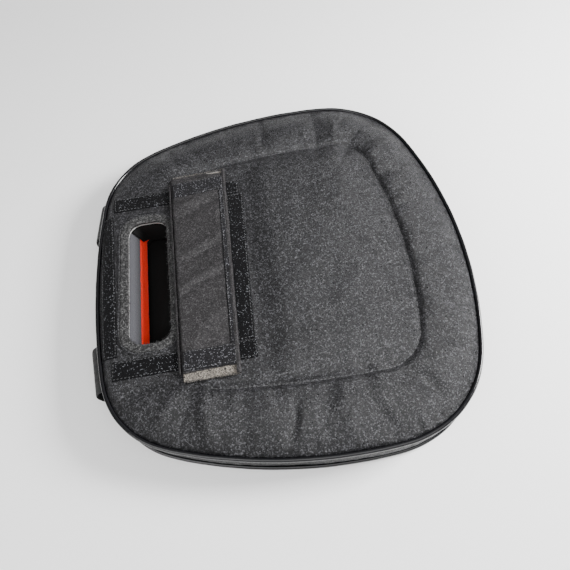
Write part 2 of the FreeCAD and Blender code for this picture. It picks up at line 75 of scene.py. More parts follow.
eye_data = bpy.data.cameras.new("view")
eye_data.lens = LENS
eye_data.sensor_width = 36.0
eye = bpy.data.objects.new("view", eye_data)
bpy.context.collection.objects.link(eye)
up = RIGHT.cross(LOOK)
turn = Matrix((RIGHT, up, -LOOK)).transposed()
eye.matrix_world = Matrix.Translation(EYE) @ turn.to_4x4()
bpy.context.scene.camera = eye


def lamp(name, place, aim, size, power):
    """A square soft lamp that faces a point."""
    data = bpy.data.lights.new(name, "AREA")
    data.shape = "SQUARE"
    data.size = size
    data.energy = power
    light = bpy.data.objects.new(name, data)
    bpy.context.collection.objects.link(light)
    light.location = place
    light.rotation_euler = (Vector(aim) - Vector(place)).to_track_quat("-Z", "Y").to_euler()


lamp("key", (1.00, 0.00, 0.66), (0.03, 0.0, 0.04), 0.40, 40.0)
lamp("fill", (-0.9, -0.8, 0.85), (0.0, 0.0, 0.0), 0.9, 10.0)
lamp("top", (0.1, -0.8, 1.9), (0.0, 0.0, 0.0), 1.8, 24.0)

world = bpy.data.worlds.new("studio")
bpy.context.scene.world = world
world.use_nodes = True
sky = world.node_tree
sky.nodes["Background"].inputs["Color"].default_value = (0.95, 0.95, 0.95, 1)
toward = sky.nodes.new("ShaderNodeVectorMath")
toward.operation = "DOT_PRODUCT"
toward.inputs[1].default_value = BRIGHT_SIDE
sky.links.new(sky.nodes.new("ShaderNodeTexCoord").outputs["Generated"], toward.inputs[0])
glow = sky.nodes.new("ShaderNodeMapRange")
glow.inputs["From Min"].default_value = -0.5
glow.inputs["To Min"].default_value = DIM_SKY
glow.inputs["To Max"].default_value = BRIGHT_SKY
sky.links.new(toward.outputs["Value"], glow.inputs["Value"])
sky.links.new(glow.outputs["Result"], sky.nodes["Background"].inputs["Strength"])

floor_mesh = bmesh.new()
bmesh.ops.create_grid(floor_mesh, x_segments=1, y_segments=1, size=FLOOR_REACH,
                      matrix=Matrix.Translation((0, 0, -FLOOR_DROP)))
floor_data = bpy.data.meshes.new("floor")
floor_mesh.to_mesh(floor_data)
floor = bpy.data.objects.new("floor", floor_data)
bpy.context.collection.objects.link(floor)
floor_paint = bpy.data.materials.new("floor_paint")
floor_paint.use_nodes = True
floor_shader = floor_paint.node_tree.nodes["Principled BSDF"]
floor_shader.inputs["Base Color"].default_value = (0.93, 0.93, 0.93, 1)
floor_shader.inputs["Roughness"].default_value = 0.9
floor_shader.inputs["Emission Color"].default_value = (1, 1, 1, 1)
floor_shader.inputs["Emission Strength"].default_value = 0.12
floor_data.materials.append(floor_paint)

# ------------------------------------------------------------------ front cover
# One woven polyester panel over polyester wadding, sewn to the side wall all round and quilted
# down along one line, so it swells in a ring outside that line and in a field inside it.

SEAM_COUNT = 560
FRAME_RISE = 0.0060
QUILT_RISE = 0.0066
RING_PUFF = 0.0052
FIELD_PUFF = 0.0056
RIM_REACH = 0.0035
CELL = 0.004
GRID_REACH = 0.24
CLOTH_FRAMES = 18
CLOTH_CAP = 0.0035
CLOTH_THICK = 0.0008


def edge_ring(node, height):
    """The outer edge of a CAD node at a height, as points in order."""
    flat = [v.co.to_2d() for v in frame["nodes"][node].data.vertices
            if abs(v.co.z - height) < 2e-5]
    return np.array([flat[i][:] for i in convex_hull_2d(flat)])


def distances(line):
    """How far along a line each of its points lies."""
    return np.concatenate([[0.0], np.cumsum(np.linalg.norm(np.diff(line, axis=0), axis=1))])


def evened(ring, count, softness=40):
    """The same closed line with even steps, its facets smoothed away."""
    closed = np.vstack([ring, ring[:1]])
    along = distances(closed)
    stops = np.linspace(0.0, along[-1], count, endpoint=False)
    line = np.column_stack([np.interp(stops, along, closed[:, k]) for k in (0, 1)])
    for _ in range(softness):
        line = (np.roll(line, 1, 0) + 2 * line + np.roll(line, -1, 0)) / 4
    twice_area = (line[:, 0] * np.roll(line[:, 1], -1) - line[:, 1] * np.roll(line[:, 0], -1)).sum()
    line = line if twice_area > 0 else line[::-1]
    return np.roll(line, -int(line[:, 0].argmax()), axis=0)


def outward(line):
    """Unit directions out of a closed line."""
    along = np.roll(line, -1, 0) - np.roll(line, 1, 0)
    out = np.column_stack([along[:, 1], -along[:, 0]])
    return out / np.linalg.norm(out, axis=1, keepdims=True)


def inside_of(points, line):
    """How far inside a closed line each point lies, and the nearest point's number."""
    near = np.empty(len(points), int)
    for start in range(0, len(points), 4000):
        part = points[start:start + 4000, None, :2] - line[None]
        near[start:start + 4000] = (part ** 2).sum(2).argmin(1)
    depth = -((points[:, :2] - line[near]) * outward(line)[near]).sum(1)
    return depth, near


def ramp(value):
    """A smooth step from 0 to 1."""
    value = np.clip(value, 0.0, 1.0)
    return value * value * (3 - 2 * value)


seam = evened(edge_ring("side_wall", wall_high.z), SEAM_COUNT)
stitch_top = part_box("quilting_stitch")[1].z
quilt = evened(edge_ring("quilting_stitch", stitch_top), 420, 12)
quilt_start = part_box("quilting_stitch")[0].x + 0.004

lip_low, lip_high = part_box("slot_binding")
LIP = 0.008
SLOT_DRAWN = 0.0030
SLOT_CORNER = 0.016
slot_x = (lip_low.x + lip_high.x) / 2
slot_y = -0.0034
slot_half = np.array([(lip_high.x - lip_low.x) / 2 - LIP,
                      (lip_high.y - lip_low.y) / 2 - LIP + SLOT_DRAWN])


def beyond_slot(points):
    """Distance of each point outside the hand slot's edge, a rectangle with round corners."""
    over = np.abs(points[:, :2] - (slot_x, slot_y)) - slot_half + SLOT_CORNER
    return np.linalg.norm(np.maximum(over, 0), axis=1) \
        + np.minimum(over.max(axis=1), 0) - SLOT_CORNER


turns = np.radians(np.arange(0, 360, 3) + 1.5)
corners = np.column_stack([np.sign(np.cos(turns)), np.sign(np.sin(turns))])
lip_line = evened(corners * (slot_half - SLOT_CORNER)
                  + np.column_stack([np.cos(turns), np.sin(turns)]) * (SLOT_CORNER + LIP)
                  + (slot_x, slot_y), 264, 2)
lip_out = outward(lip_line)


def slot_ring(offset):
    """The slot's edge in the cover, moved outwards."""
    return lip_line + lip_out * (offset - LIP)


frame_low = Vector((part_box("loop_tape_end")[0].x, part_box("loop_tape_right")[0].y))
frame_high = Vector((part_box("loop_tape_inner")[1].x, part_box("loop_tape_left")[1].y))


def beyond_frame(points):
    """Distance of each point outside the rectangle of loop tape."""
    side = np.maximum(frame_low.x - points[:, 0], points[:, 0] - frame_high.x)
    end = np.maximum(frame_low.y - points[:, 1], points[:, 1] - frame_high.y)
    return np.hypot(np.maximum(side, 0), np.maximum(end, 0))


def crowned(points):
    """Height of the padded front at each point, before the cloth settles."""
    from_seam, _ = inside_of(points, seam)
    from_quilt, _ = inside_of(points, quilt)
    from_seam = np.maximum(from_seam, 0.0)
    share = from_seam / (from_seam + np.maximum(-from_quilt, 1e-6))
    ring = QUILT_RISE * share ** 0.6 + RING_PUFF * np.sin(np.pi * share) ** 0.8
    field = QUILT_RISE + FIELD_PUFF * (1 - np.exp(-np.maximum(from_quilt, 0) / 0.022))
    free = np.where(from_quilt > 0, field, ring)
    held = FRAME_RISE * (1 - np.exp(-from_seam / RIM_REACH))
    hold = 1 - ramp(beyond_frame(points) / 0.034)
    return SEAM_Z + hold * held + (1 - hold) * free


def mesh_points(mesh):
    """The points of a bmesh."""
    points = np.empty(len(mesh.verts) * 3)
    for i, vert in enumerate(mesh.verts):
        points[3 * i:3 * i + 3] = vert.co
    return points.reshape(-1, 3)


def put(mesh, points):
    """Moves the points of a bmesh."""
    for vert, point in zip(mesh.verts, points):
        vert.co = point


def points_of(piece):
    """The points of a piece."""
    return np.array([v.co[:] for v in piece.data.vertices])


def move_points(piece, points):
    """Moves the points of a piece."""
    piece.data.vertices.foreach_set("co", points.ravel())
    piece.data.update()


def new_piece(name, mesh):
    """Turns a bmesh into an object at the origin."""
    data = bpy.data.meshes.new(name)
    mesh.to_mesh(data)
    mesh.free()
    data.shade_smooth()
    piece = bpy.data.objects.new(name, data)
    bpy.context.collection.objects.link(piece)
    return piece


def trimmed_grid(cell, inset=0.0, hole=False):
    """A grid of square cells cut to the seam's outline, and to the slot if it has a hole."""
    mesh = bmesh.new()
    count = int(round(2 * GRID_REACH / cell))
    bmesh.ops.create_grid(mesh, x_segments=count, y_segments=count, size=GRID_REACH)
    line = seam - outward(seam) * inset
    points = mesh_points(mesh)
    depth, _ = inside_of(points, line)
    outside = depth < cell * 0.35
    if hole:
        outside |= beyond_slot(points) < cell * 0.35
    bmesh.ops.delete(mesh, geom=[v for v, off in zip(mesh.verts, outside) if off],
                     context="VERTS")
    bmesh.ops.delete(mesh, geom=[v for v in mesh.verts if len(v.link_faces) == 0],
                     context="VERTS")
    mesh.verts.index_update()
    rim = [v for v in mesh.verts if v.is_boundary]
    inner = [v for v in mesh.verts if not v.is_boundary]
    spots = np.array([v.co[:] for v in rim])
    _, near = inside_of(spots, line)
    for vert, spot, index, off in zip(rim, spots, near, beyond_slot(spots)):
        if hole and off < cell * 2:
            edge = slot_ring(0)
            nearest = edge[((edge - spot[:2]) ** 2).sum(1).argmin()]
            vert.co = (nearest[0], nearest[1], 0)
        else:
            vert.co = (line[index][0], line[index][1], 0)
    for _ in range(6):
        bmesh.ops.smooth_vert(mesh, verts=inner, factor=0.5, use_axis_x=True,
                              use_axis_y=True, use_axis_z=False)
    return mesh


def settle(piece, pinned, pressure, slack):
    """Lets the cloth of a piece swell between its seams, then keeps the result as its mesh."""
    start = points_of(piece)
    group = piece.vertex_groups.new(name="sewn")
    for index, weight in enumerate(pinned):
        if weight > 0:
            group.add([index], float(weight), "REPLACE")
    cloth = piece.modifiers.new("settle", "CLOTH")
    settings = cloth.settings
    settings.vertex_group_mass = "sewn"
    settings.use_pressure = True
    settings.uniform_pressure_force = pressure
    settings.shrink_min = -slack
    settings.mass = 0.25
    settings.quality = 6
    settings.tension_stiffness = 25
    settings.compression_stiffness = 12
    settings.shear_stiffness = 8
    settings.bending_stiffness = 0.6
    settings.air_damping = 6
    settings.effector_weights.gravity = 0
    cloth.collision_settings.use_collision = False
    scene = bpy.context.scene
    cloth.point_cache.frame_start = 1
    cloth.point_cache.frame_end = CLOTH_FRAMES
    for number in range(1, CLOTH_FRAMES + 1):
        scene.frame_set(number)
    graph = bpy.context.evaluated_depsgraph_get()
    settled = piece.evaluated_get(graph).to_mesh()
    end = np.array([v.co[:] for v in settled.vertices])
    move = end - start
    length = np.linalg.norm(move, axis=1, keepdims=True)
    move *= np.minimum(1.0, CLOTH_CAP / np.maximum(length, 1e-9))
    piece.evaluated_get(graph).to_mesh_clear()
    piece.modifiers.remove(cloth)
    piece.vertex_groups.clear()
    scene.frame_set(1)
    move_points(piece, start + move)


def finer(piece):
    """Divides every face once, smoothly."""
    mesh = bmesh.new()
    mesh.from_mesh(piece.data)
    bmesh.ops.subdivide_edges(mesh, edges=mesh.edges, cuts=1, use_grid_fill=True, smooth=0.6)
    mesh.to_mesh(piece.data)
    mesh.free()
    piece.data.shade_smooth()


def wobble(points, size, seed):
    """Smooth noise from -1 to 1 at each point, with features of a size."""
    return np.array([noise.noise(Vector(p) / size + Vector((seed, seed * 2.3, -seed)))
                     for p in points])


def fold_rise(points, x, y, heading, length, width, height, bend, pitch, phase):
    """Height of one soft fold at each point: a long low ridge or dip that bends a little."""
    ahead = np.array([math.cos(math.radians(heading)), math.sin(math.radians(heading))])
    offset = points[:, :2] - np.array([x, y])
    along = offset @ ahead
    across = offset @ np.array([-ahead[1], ahead[0]]) + bend * np.sin(along / pitch + phase)
    return height * np.exp(-(along / (length / 2)) ** 2 - (across / width) ** 2)


def thicken(piece, thickness, offset=-1.0):
    """Gives a skin its thickness."""
    solid = piece.modifiers.new("thickness", "SOLIDIFY")
    solid.thickness = thickness
    solid.offset = offset


def fitted(piece, material, body, node):
    """Gives a piece its material and its body, and hides the CAD node that it stands for, if any.
    """
    piece.data.materials.append(material)
    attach(piece, body)
    if node:
        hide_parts(node)


cover_mesh = trimmed_grid(CELL, hole=True)
flat = mesh_points(cover_mesh)
quilt_depth, quilt_near = inside_of(flat, quilt)
on_quilt = (np.abs(quilt_depth) < CELL * 0.5) & (flat[:, 0] > quilt_start)
flat[on_quilt, :2] = quilt[quilt_near[on_quilt]]
flat[:, 2] = crowned(flat)
put(cover_mesh, flat)
rim_flags = np.array([v.is_boundary for v in cover_mesh.verts])
front_cover = new_piece("front_cover", cover_mesh)
in_frame = (beyond_frame(flat) < 0.001) & (beyond_slot(flat) < 0.012)
settle(front_cover, rim_flags * 1.0 + on_quilt * 1.0 * ~rim_flags
       + (in_frame & ~rim_flags & ~on_quilt) * 0.8, 3.0, 0.022)
finer(front_cover)

# Sculpted after the cloth has settled: the thread's groove, puckers along both seams, and the
# long soft folds that handling leaves in the padded ring.
FOLDS = [
    # x, y, direction in degrees, length, width, height
    (-0.150, -0.125, 215, 0.050, 0.006, -0.0016),
    (-0.128, -0.158, 242, 0.058, 0.006, 0.0020),
    (-0.112, -0.170, 250, 0.060, 0.006, -0.0026),
    (-0.090, -0.165, 262, 0.064, 0.007, 0.0024),
    (-0.060, -0.178, 250, 0.052, 0.006, -0.0022),
    (-0.035, -0.176, 275, 0.056, 0.007, 0.0022),
    (-0.014, -0.184, 264, 0.048, 0.006, -0.0022),
    (0.020, -0.178, 258, 0.060, 0.007, -0.0030),
    (0.040, -0.180, 272, 0.056, 0.007, 0.0024),
    (0.066, -0.183, 285, 0.052, 0.007, -0.0024),
    (0.090, -0.172, 292, 0.060, 0.008, 0.0022),
    (0.110, -0.168, 305, 0.066, 0.007, -0.0030),
    (0.128, -0.146, 312, 0.060, 0.007, 0.0024),
    (0.146, -0.128, 325, 0.056, 0.007, -0.0026),
    (0.156, -0.100, 335, 0.050, 0.007, 0.0020),
    (0.165, -0.062, 348, 0.046, 0.008, -0.0018),
    (0.168, -0.010, 2, 0.048, 0.008, 0.0016),
    (0.166, 0.040, 12, 0.050, 0.008, -0.0020),
    (0.156, 0.090, 28, 0.058, 0.007, -0.0026),
    (0.142, 0.122, 42, 0.058, 0.007, 0.0024),
    (0.120, 0.150, 52, 0.066, 0.007, -0.0030),
    (0.098, 0.164, 64, 0.060, 0.007, 0.0022),
    (0.074, 0.178, 76, 0.056, 0.007, -0.0026),
    (0.040, 0.182, 84, 0.050, 0.007, 0.0018),
    (0.006, 0.184, 97, 0.052, 0.007, -0.0020),
    (-0.040, 0.178, 104, 0.056, 0.007, 0.0018),
    (-0.080, 0.168, 112, 0.054, 0.007, -0.0020),
    (-0.120, 0.150, 125, 0.050, 0.008, 0.0016),
    (0.060, -0.060, 35, 0.120, 0.014, 0.0016),
    (0.020, 0.050, 150, 0.140, 0.016, -0.0014),
    (0.090, 0.040, 80, 0.110, 0.014, 0.0014),
    (0.010, -0.090, 12, 0.110, 0.012, -0.0013),
    (0.100, -0.020, 120, 0.090, 0.012, -0.0012),
]
points = points_of(front_cover)
quilt_depth, quilt_near = inside_of(points, quilt)
seam_depth, seam_near = inside_of(points, seam)
sewn = points[:, 0] > quilt_start
rise = np.zeros(len(points))
rise -= sewn * 0.0022 * np.exp(-(quilt_depth / 0.0028) ** 2)
ripple = np.sin(quilt_near * 0.62 + 2.5 * np.sin(quilt_near * 0.071)) \
    * (0.6 + 0.4 * np.sin(quilt_near * 0.173))
rise += sewn * 0.0012 * ripple * np.exp(-np.abs(quilt_depth) / 0.011) \
    * (1 - np.exp(-np.abs(quilt_depth) / 0.002))
gather = np.sin(seam_near * 1.25 + 3.0 * np.sin(seam_near * 0.05)) \
    * (0.5 + 0.5 * np.sin(seam_near * 0.137 + 1.0))
free_cloth = ramp(beyond_frame(points) / 0.02)
rise += free_cloth * 0.0006 * gather * np.exp(-seam_depth / 0.012) * (seam_depth > 0.0015)
for number, (x, y, heading, length, width, height) in enumerate(FOLDS):
    height *= 0.95 + 0.50 * math.sin(number * 2.4)
    width *= 1.05 + 0.3 * math.sin(number * 1.7 + 1.0)
    rise += free_cloth * fold_rise(points, x, y, heading, length, width, height,
                                   0.004, 0.018, x * 40)
rise += free_cloth * (0.0012 * wobble(points, 0.035, 3.1) + 0.0004 * wobble(points, 0.012, 7.7))
rise *= np.clip(seam_depth / 0.003, 0, 1) * np.clip(beyond_slot(points) / 0.004, 0, 1)
points[:, 2] += rise
move_points(front_cover, points)
cover_tree = BVHTree.FromObject(front_cover, bpy.context.evaluated_depsgraph_get())


def cover_height(x, y):
    """Height of the finished front cover above a point, or of the nearest cloth beside it."""
    hit = cover_tree.ray_cast(Vector((x, y, 0.2)), Vector((0, 0, -1)))[0]
    return hit.z if hit else cover_tree.find_nearest(Vector((x, y, SEAM_Z)))[0].z


def finish(name, colour, rough, specular=0.5, sheen=0.0, sheen_rough=0.5, coat=0.0):
    """A material with its even values set; gives back the material, its tree and its shader."""
    material = bpy.data.materials.new(name)
    material.use_nodes = True
    shader = material.node_tree.nodes["Principled BSDF"]
    shader.inputs["Base Color"].default_value = (*colour, 1)
    shader.inputs["Roughness"].default_value = rough
    shader.inputs["Specular IOR Level"].default_value = specular
    shader.inputs["Sheen Weight"].default_value = sheen
    shader.inputs["Sheen Roughness"].default_value = sheen_rough
    shader.inputs["Coat Weight"].default_value = coat
    return material, material.node_tree, shader


def place_of(tree, by_map=False):
    """Where a pattern is read: along the piece's own map if it has one, or in its space."""
    source = tree.nodes.new("ShaderNodeTexCoord")
    return source.outputs["UV" if by_map else "Object"]


def pattern(tree, kind, where, scale, **values):
    """A texture node read at a place and a scale."""
    texture = tree.nodes.new(kind)
    tree.links.new(where, texture.inputs["Vector"])
    texture.inputs["Scale"].default_value = scale
    for name, value in values.items():
        if name in texture.inputs:
            texture.inputs[name].default_value = value
        else:
            setattr(texture, name, value)
    return texture


def between(tree, value, low, high, start=0.0, end=1.0):
    """A colour that goes from low to high as a value goes from start to end."""
    steps = tree.nodes.new("ShaderNodeValToRGB")
    steps.color_ramp.elements[0].position = start
    steps.color_ramp.elements[1].position = end
    steps.color_ramp.elements[0].color = (*low, 1)
    steps.color_ramp.elements[1].color = (*high, 1)
    tree.links.new(value, steps.inputs["Fac"])
    return steps.outputs["Color"]


def sums(tree, kind, first, second):
    """One number worked out from two."""
    step = tree.nodes.new("ShaderNodeMath")
    step.operation = kind
    for socket, value in zip(step.inputs, (first, second)):
        if isinstance(value, (int, float)):
            socket.default_value = value
        else:
            tree.links.new(value, socket)
    return step.outputs["Value"]


def blended(tree, share, low, high, kind="MIX"):
    """Two colours mixed."""
    step = tree.nodes.new("ShaderNodeMix")
    step.data_type = "RGBA"
    step.blend_type = kind
    for socket, value in ((step.inputs["Factor"], share), (step.inputs["A"], low),
                          (step.inputs["B"], high)):
        if isinstance(value, (int, float)):
            socket.default_value = value
        elif isinstance(value, tuple):
            socket.default_value = (*value, 1)
        else:
            tree.links.new(value, socket)
    return step.outputs["Result"]


def paint(tree, shader, value, low, high, start=0.0, end=1.0):
    """Colours a shader from low to high as a value goes from start to end."""
    tree.links.new(between(tree, value, low, high, start, end), shader.inputs["Base Color"])


def relief(tree, shader, height, depth, strength=1.0):
    """Gives a shader the small ups and downs of a pattern."""
    bump = tree.nodes.new("ShaderNodeBump")
    bump.inputs["Distance"].default_value = depth
    bump.inputs["Strength"].default_value = strength
    tree.links.new(height, bump.inputs["Height"])
    tree.links.new(bump.outputs["Normal"], shader.inputs["Normal"])


def woven_cloth(name, dark, pale, pitch, rough, sheen, painted_glint, glints):
    """Plain-weave polyester: yarns both ways, uneven in tone, with painted glints: pale specks
    painted into its colour on the weave's crests.
    """
    cloth, tree, shader = finish(name, dark, rough, 0.32, sheen, 0.35)
    where = place_of(tree)
    warp, weft = [pattern(tree, "ShaderNodeTexWave", where, 0.5 / pitch,
                          bands_direction=way, Distortion=0.6) for way in "XY"]
    cross = sums(tree, "MAXIMUM", warp.outputs["Fac"], weft.outputs["Fac"])
    yarns = pattern(tree, "ShaderNodeTexNoise", where, 1 / (pitch * 1.5), Detail=3.0)
    patch = pattern(tree, "ShaderNodeTexNoise", where, 18.0, Detail=2.0)
    flecks = pattern(tree, "ShaderNodeTexVoronoi", where, 1 / (pitch * 1.25))
    split = tree.nodes.new("ShaderNodeSeparateColor")
    tree.links.new(flecks.outputs["Color"], split.inputs["Color"])
    tone = between(tree, yarns.outputs["Fac"], dark, pale, 0.36, 0.66)
    worn = between(tree, patch.outputs["Fac"], (0.75, 0.75, 0.75), (1.2, 1.2, 1.2), 0.3, 0.7)
    tone = blended(tree, 1.0, tone, worn, "MULTIPLY")
    # Painted glints: scattered cells on the weave's crests take the pale speck colour.
    painted_glint_share = sums(tree, "POWER", split.outputs["Red"], 1 / glints)
    painted_glint_share = sums(tree, "MULTIPLY", painted_glint_share, cross)
    tree.links.new(blended(tree, painted_glint_share, tone, painted_glint), shader.inputs["Base Color"])
    gloss = between(tree, split.outputs["Green"], (rough * 0.7,) * 3, (min(1, rough * 1.5),) * 3)
    tree.links.new(gloss, shader.inputs["Roughness"])
    height = sums(tree, "ADD", cross, sums(tree, "MULTIPLY", yarns.outputs["Fac"], 1.3))
    relief(tree, shader, height, pitch * 0.28, 0.8)
    return cloth


WEAVE = 0.0008
# (0.112, 0.111, 0.121) is the colour of the painted glints.
cover_cloth = woven_cloth("cover_cloth", (0.0006, 0.0006, 0.0008), (0.0045, 0.0044, 0.0054),
                          WEAVE, 0.38, 0.02, (0.112, 0.111, 0.121), 0.20)
thicken(front_cover, CLOTH_THICK)
fitted(front_cover, cover_cloth, "shield", "front_panel")

# ------------------------------------------------------------------ wadding
# A loose sheet of polyester wadding between the front cover and the foam, crowned like the
# cover that it fills and flat where it lies on the foam.  It is open at the slot.

WADDING_INSET = 0.004
WADDING_GAP = 0.0014


def laid(name, columns, rows, place, span=None, closed=False, join=False):
    """A piece from a grid of faces: place(u, v) gives its points, both from 0 to 1."""
    mesh = bmesh.new()
    mesh.loops.layers.uv.new("UVMap")
    bmesh.ops.create_grid(mesh, x_segments=columns, y_segments=rows, size=0.5, calc_uvs=True)
    at = mesh_points(mesh)[:, :2] + 0.5
    put(mesh, place(at[:, 0], at[:, 1]))
    if span:
        uv = mesh.loops.layers.uv.active
        for face in mesh.faces:
            for loop in face.loops:
                loop[uv].uv = (loop[uv].uv.x * span[0], loop[uv].uv.y * span[1])
    if closed or join:
        bmesh.ops.remove_doubles(mesh, verts=mesh.verts, dist=2e-6)
    if closed:
        bmesh.ops.recalc_face_normals(mesh, faces=mesh.faces)
    return new_piece(name, mesh)


def looped(name, rings, closed=True, span=None):
    """A piece from rings of points that lie one after another, its last ring met by its first."""
    rings = np.array(rings)
    rows, count = rings.shape[:2]
    steps = rows if closed else rows - 1

    def place(u, v):
        column = np.rint(u * count).astype(int) % count
        row = np.rint(v * steps).astype(int) % rows
        return rings[row, column]

    return laid(name, count, steps, place, span, closed, True)


def at_height(flat, z):
    """Flat points given one height, or one each."""
    return np.column_stack([flat, np.broadcast_to(z, len(flat))])


slot_angle = np.arctan2(slot_ring(0)[:, 1] - slot_y, slot_ring(0)[:, 0] - slot_x)


def rim_points(angle, inset):
    """Where rays from the slot's middle meet the pad's outline, less an inset."""
    line = seam - outward(seam) * inset - (slot_x, slot_y)
    reach = np.interp(angle, np.arctan2(line[:, 1], line[:, 0]), np.linalg.norm(line, axis=1),
                      period=2 * math.pi)
    return np.column_stack([slot_x + reach * np.cos(angle), slot_y + reach * np.sin(angle)])


def lie_on(flat, lift):
    """Flat points set on the finished front cover, with a lift over it."""
    return np.array([(x, y, cover_height(x, y) + lift) for x, y in flat])


wadding_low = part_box("front_wadding")[0]
wadding_mesh = trimmed_grid(CELL, inset=WADDING_INSET, hole=True)
flat = mesh_points(wadding_mesh)
heights = [lie_on(flat[:, :2] + shift, -WADDING_GAP)[:, 2]
           for shift in 0.003 * np.array([(0, 0), (1, 0), (-1, 0), (0, 1), (0, -1)])]
flat[:, 2] = np.maximum(np.min(heights, axis=0), wadding_low.z + 0.0003)
put(wadding_mesh, flat)
made = bmesh.ops.extrude_face_region(wadding_mesh, geom=wadding_mesh.faces[:])
for vert in made["geom"]:
    if isinstance(vert, bmesh.types.BMVert):
        vert.co.z = wadding_low.z
bmesh.ops.recalc_face_normals(wadding_mesh, faces=wadding_mesh.faces)
wadding = new_piece("wadding", wadding_mesh)
wool, tree, shader = finish("wadding_wool", (0.78, 0.78, 0.76), 0.95, 0.2, 0.4)
fibres = pattern(tree, "ShaderNodeTexNoise", place_of(tree), 900.0, Detail=4.0, Distortion=2.0)
relief(tree, shader, fibres.outputs["Fac"], 0.0008)
paint(tree, shader, fibres.outputs["Fac"], (0.6, 0.6, 0.58), (0.86, 0.86, 0.84))
fitted(wadding, wool, "shield", "front_wadding")

# ------------------------------------------------------------------ foams
# Three die-cut layers of foam, grey over orange over dark, glued into one pad.  The hand slot
# is cut through all of them, leaning towards the wide end, so their colours show in its wall.

HOLE_X = 0.0232
HOLE_Y = 0.0800
HOLE_CHAMFER = 0.0060
SLOT_LEAN = 0.012
FOAM_INSET = 0.0013
foam_low, foam_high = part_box("lower_foam")[0].z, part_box("upper_foam")[1].z


def lean_at(z):
    """How far the slot has moved to the wide end at a height."""
    return SLOT_LEAN * (lip_high.z - z) / (lip_high.z - foam_low)


def hole_ring(angle, z, shrink=0.0):
    """The foam's hole, a rectangle with cut corners, at one height."""
    c, s = np.abs(np.cos(angle)) + 1e-9, np.abs(np.sin(angle)) + 1e-9
    reach = np.minimum.reduce([(HOLE_X - shrink) / c, (HOLE_Y - shrink) / s,
                               (HOLE_X + HOLE_Y - HOLE_CHAMFER - 1.5 * shrink) / (c + s)])
    x = slot_x + lean_at(z) + reach * np.cos(angle)
    return at_height(np.column_stack([x, slot_y + reach * np.sin(angle)]), z)


def foam_material(name, dark, pale, cell):
    """Cut foam: open cells, with painted shade that darkens their hollows."""
    foam, tree, shader = finish(name, pale, 0.9, 0.25, 0.15)
    where = place_of(tree)
    cells = pattern(tree, "ShaderNodeTexVoronoi", where, 1 / cell)
    fine = pattern(tree, "ShaderNodeTexNoise", where, 2 / cell, Detail=3.0)
    height = sums(tree, "ADD", cells.outputs["Distance"],
                  sums(tree, "MULTIPLY", fine.outputs["Fac"], 0.8))
    # Painted shade: the colour falls from the face colour to the hollow colour where the relief
    # dips into each cell.
    paint(tree, shader, height, dark, pale, 0.25, 0.95)
    relief(tree, shader, height, cell * 0.5, 0.7)
    return foam


FOAMS = [
    # node, material name, painted shade colour of the cells' hollows, face colour, cell, set back
    # of its cut, top and foot
    ("upper_foam", "grey_foam", (0.026, 0.026, 0.030), (0.060, 0.060, 0.068), 0.0011, (0.0015, 0)),
    ("core_foam", "orange_foam", (0.80, 0.010, 0.0), (1.0, 0.022, 0.0), 0.0009, (0, -0.0034)),
    ("lower_foam", "dark_foam", (0.0003,) * 3, (0.001,) * 3, 0.0010, (0.004, 0.004)),
]
for node, finish_slot, dark, pale, cell, back in FOAMS:
    low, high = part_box(node)[0].z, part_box(node)[1].z
    levels = np.linspace(low + 0.0006, high - 0.0006, 7)
    rim = rim_points(slot_angle, FOAM_INSET)
    rings = [at_height(rim, low), at_height(rim, high)]
    for z in [high, *levels[::-1], low]:
        ring = hole_ring(slot_angle, z, -0.0006 if z in (low, high) else 0.0)
        cut = back[0] + (back[1] - back[0]) * (high - z) / (high - low)
        ring[:, 0] -= cut * ramp((-np.cos(slot_angle) - 0.1) / 0.2)
        away = ring[:, :2] - (slot_x + lean_at(z), slot_y)
        away /= np.linalg.norm(away, axis=1, keepdims=True)
        ragged = 0.0004 * wobble(ring, 0.011, 4.4 + low * 900) + 0.00018 * wobble(ring, 0.003, 9.1)
        ring[:, :2] += away * ragged[:, None]
        rings.append(ring)
    layer = looped(node + "_layer", rings)
    fitted(layer, foam_material(finish_slot, dark, pale, cell), "shield", node)

# ------------------------------------------------------------------ side wall
# A band of the cover cloth all round, sewn to both panels with a bead of piping in each seam.
# The foam pushes it out between the seams, and the sewing gathers it a little.

WALL_PUFF = 0.0024
WALL_ROWS = 22
wall_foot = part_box("back_piping")[0].z + 0.0022
gathers = np.arange(SEAM_COUNT) * 2 * math.pi / SEAM_COUNT
rings = []
for share in np.linspace(0, 1, WALL_ROWS):
    z = wall_foot + share * (SEAM_Z - wall_foot)
    puff = WALL_PUFF * math.sin(math.pi * share) ** 0.6
    line = seam + outward(seam) * puff
    near_seam = math.exp(-share / 0.22) + math.exp(-(1 - share) / 0.22)
    pleats = np.sin(gathers * 92 + 2.2 * np.sin(gathers * 9)) \
        * (0.5 + 0.5 * np.sin(gathers * 13 + 2))
    slack = wobble(at_height(line, z * 1.4), 0.045, 12.3) * 0.0011
    slack += wobble(at_height(line, z), 0.014, 2.9) * 0.0004
    held = math.sin(math.pi * share) ** 0.5
    shift = held * (slack + 0.00045 * pleats * near_seam)
    rings.append(at_height(line + outward(seam) * shift[:, None], z))
side_band = looped("side_band", rings, closed=False, span=(1.36, SEAM_Z - wall_foot))
# The side wall's cloth is a darker copy of the cover cloth, its yarns and painted glints dimmed:
# painted shade over the whole wall.
shaded_wall_cloth = woven_cloth("shaded_wall_cloth", (0.0005, 0.0005, 0.0006), (0.0022, 0.0021, 0.0026),
                         WEAVE, 0.55, 0.0, (0.010, 0.010, 0.011), 0.20)
thicken(side_band, CLOTH_THICK)
fitted(side_band, shaded_wall_cloth, "shield", "side_wall")

# ------------------------------------------------------------------ back panel
# The side that rests on the arm: the same cloth over a thin spacer, flat where the shield lies
# on it, rounded up to its seam, and pressed in along the two straps.

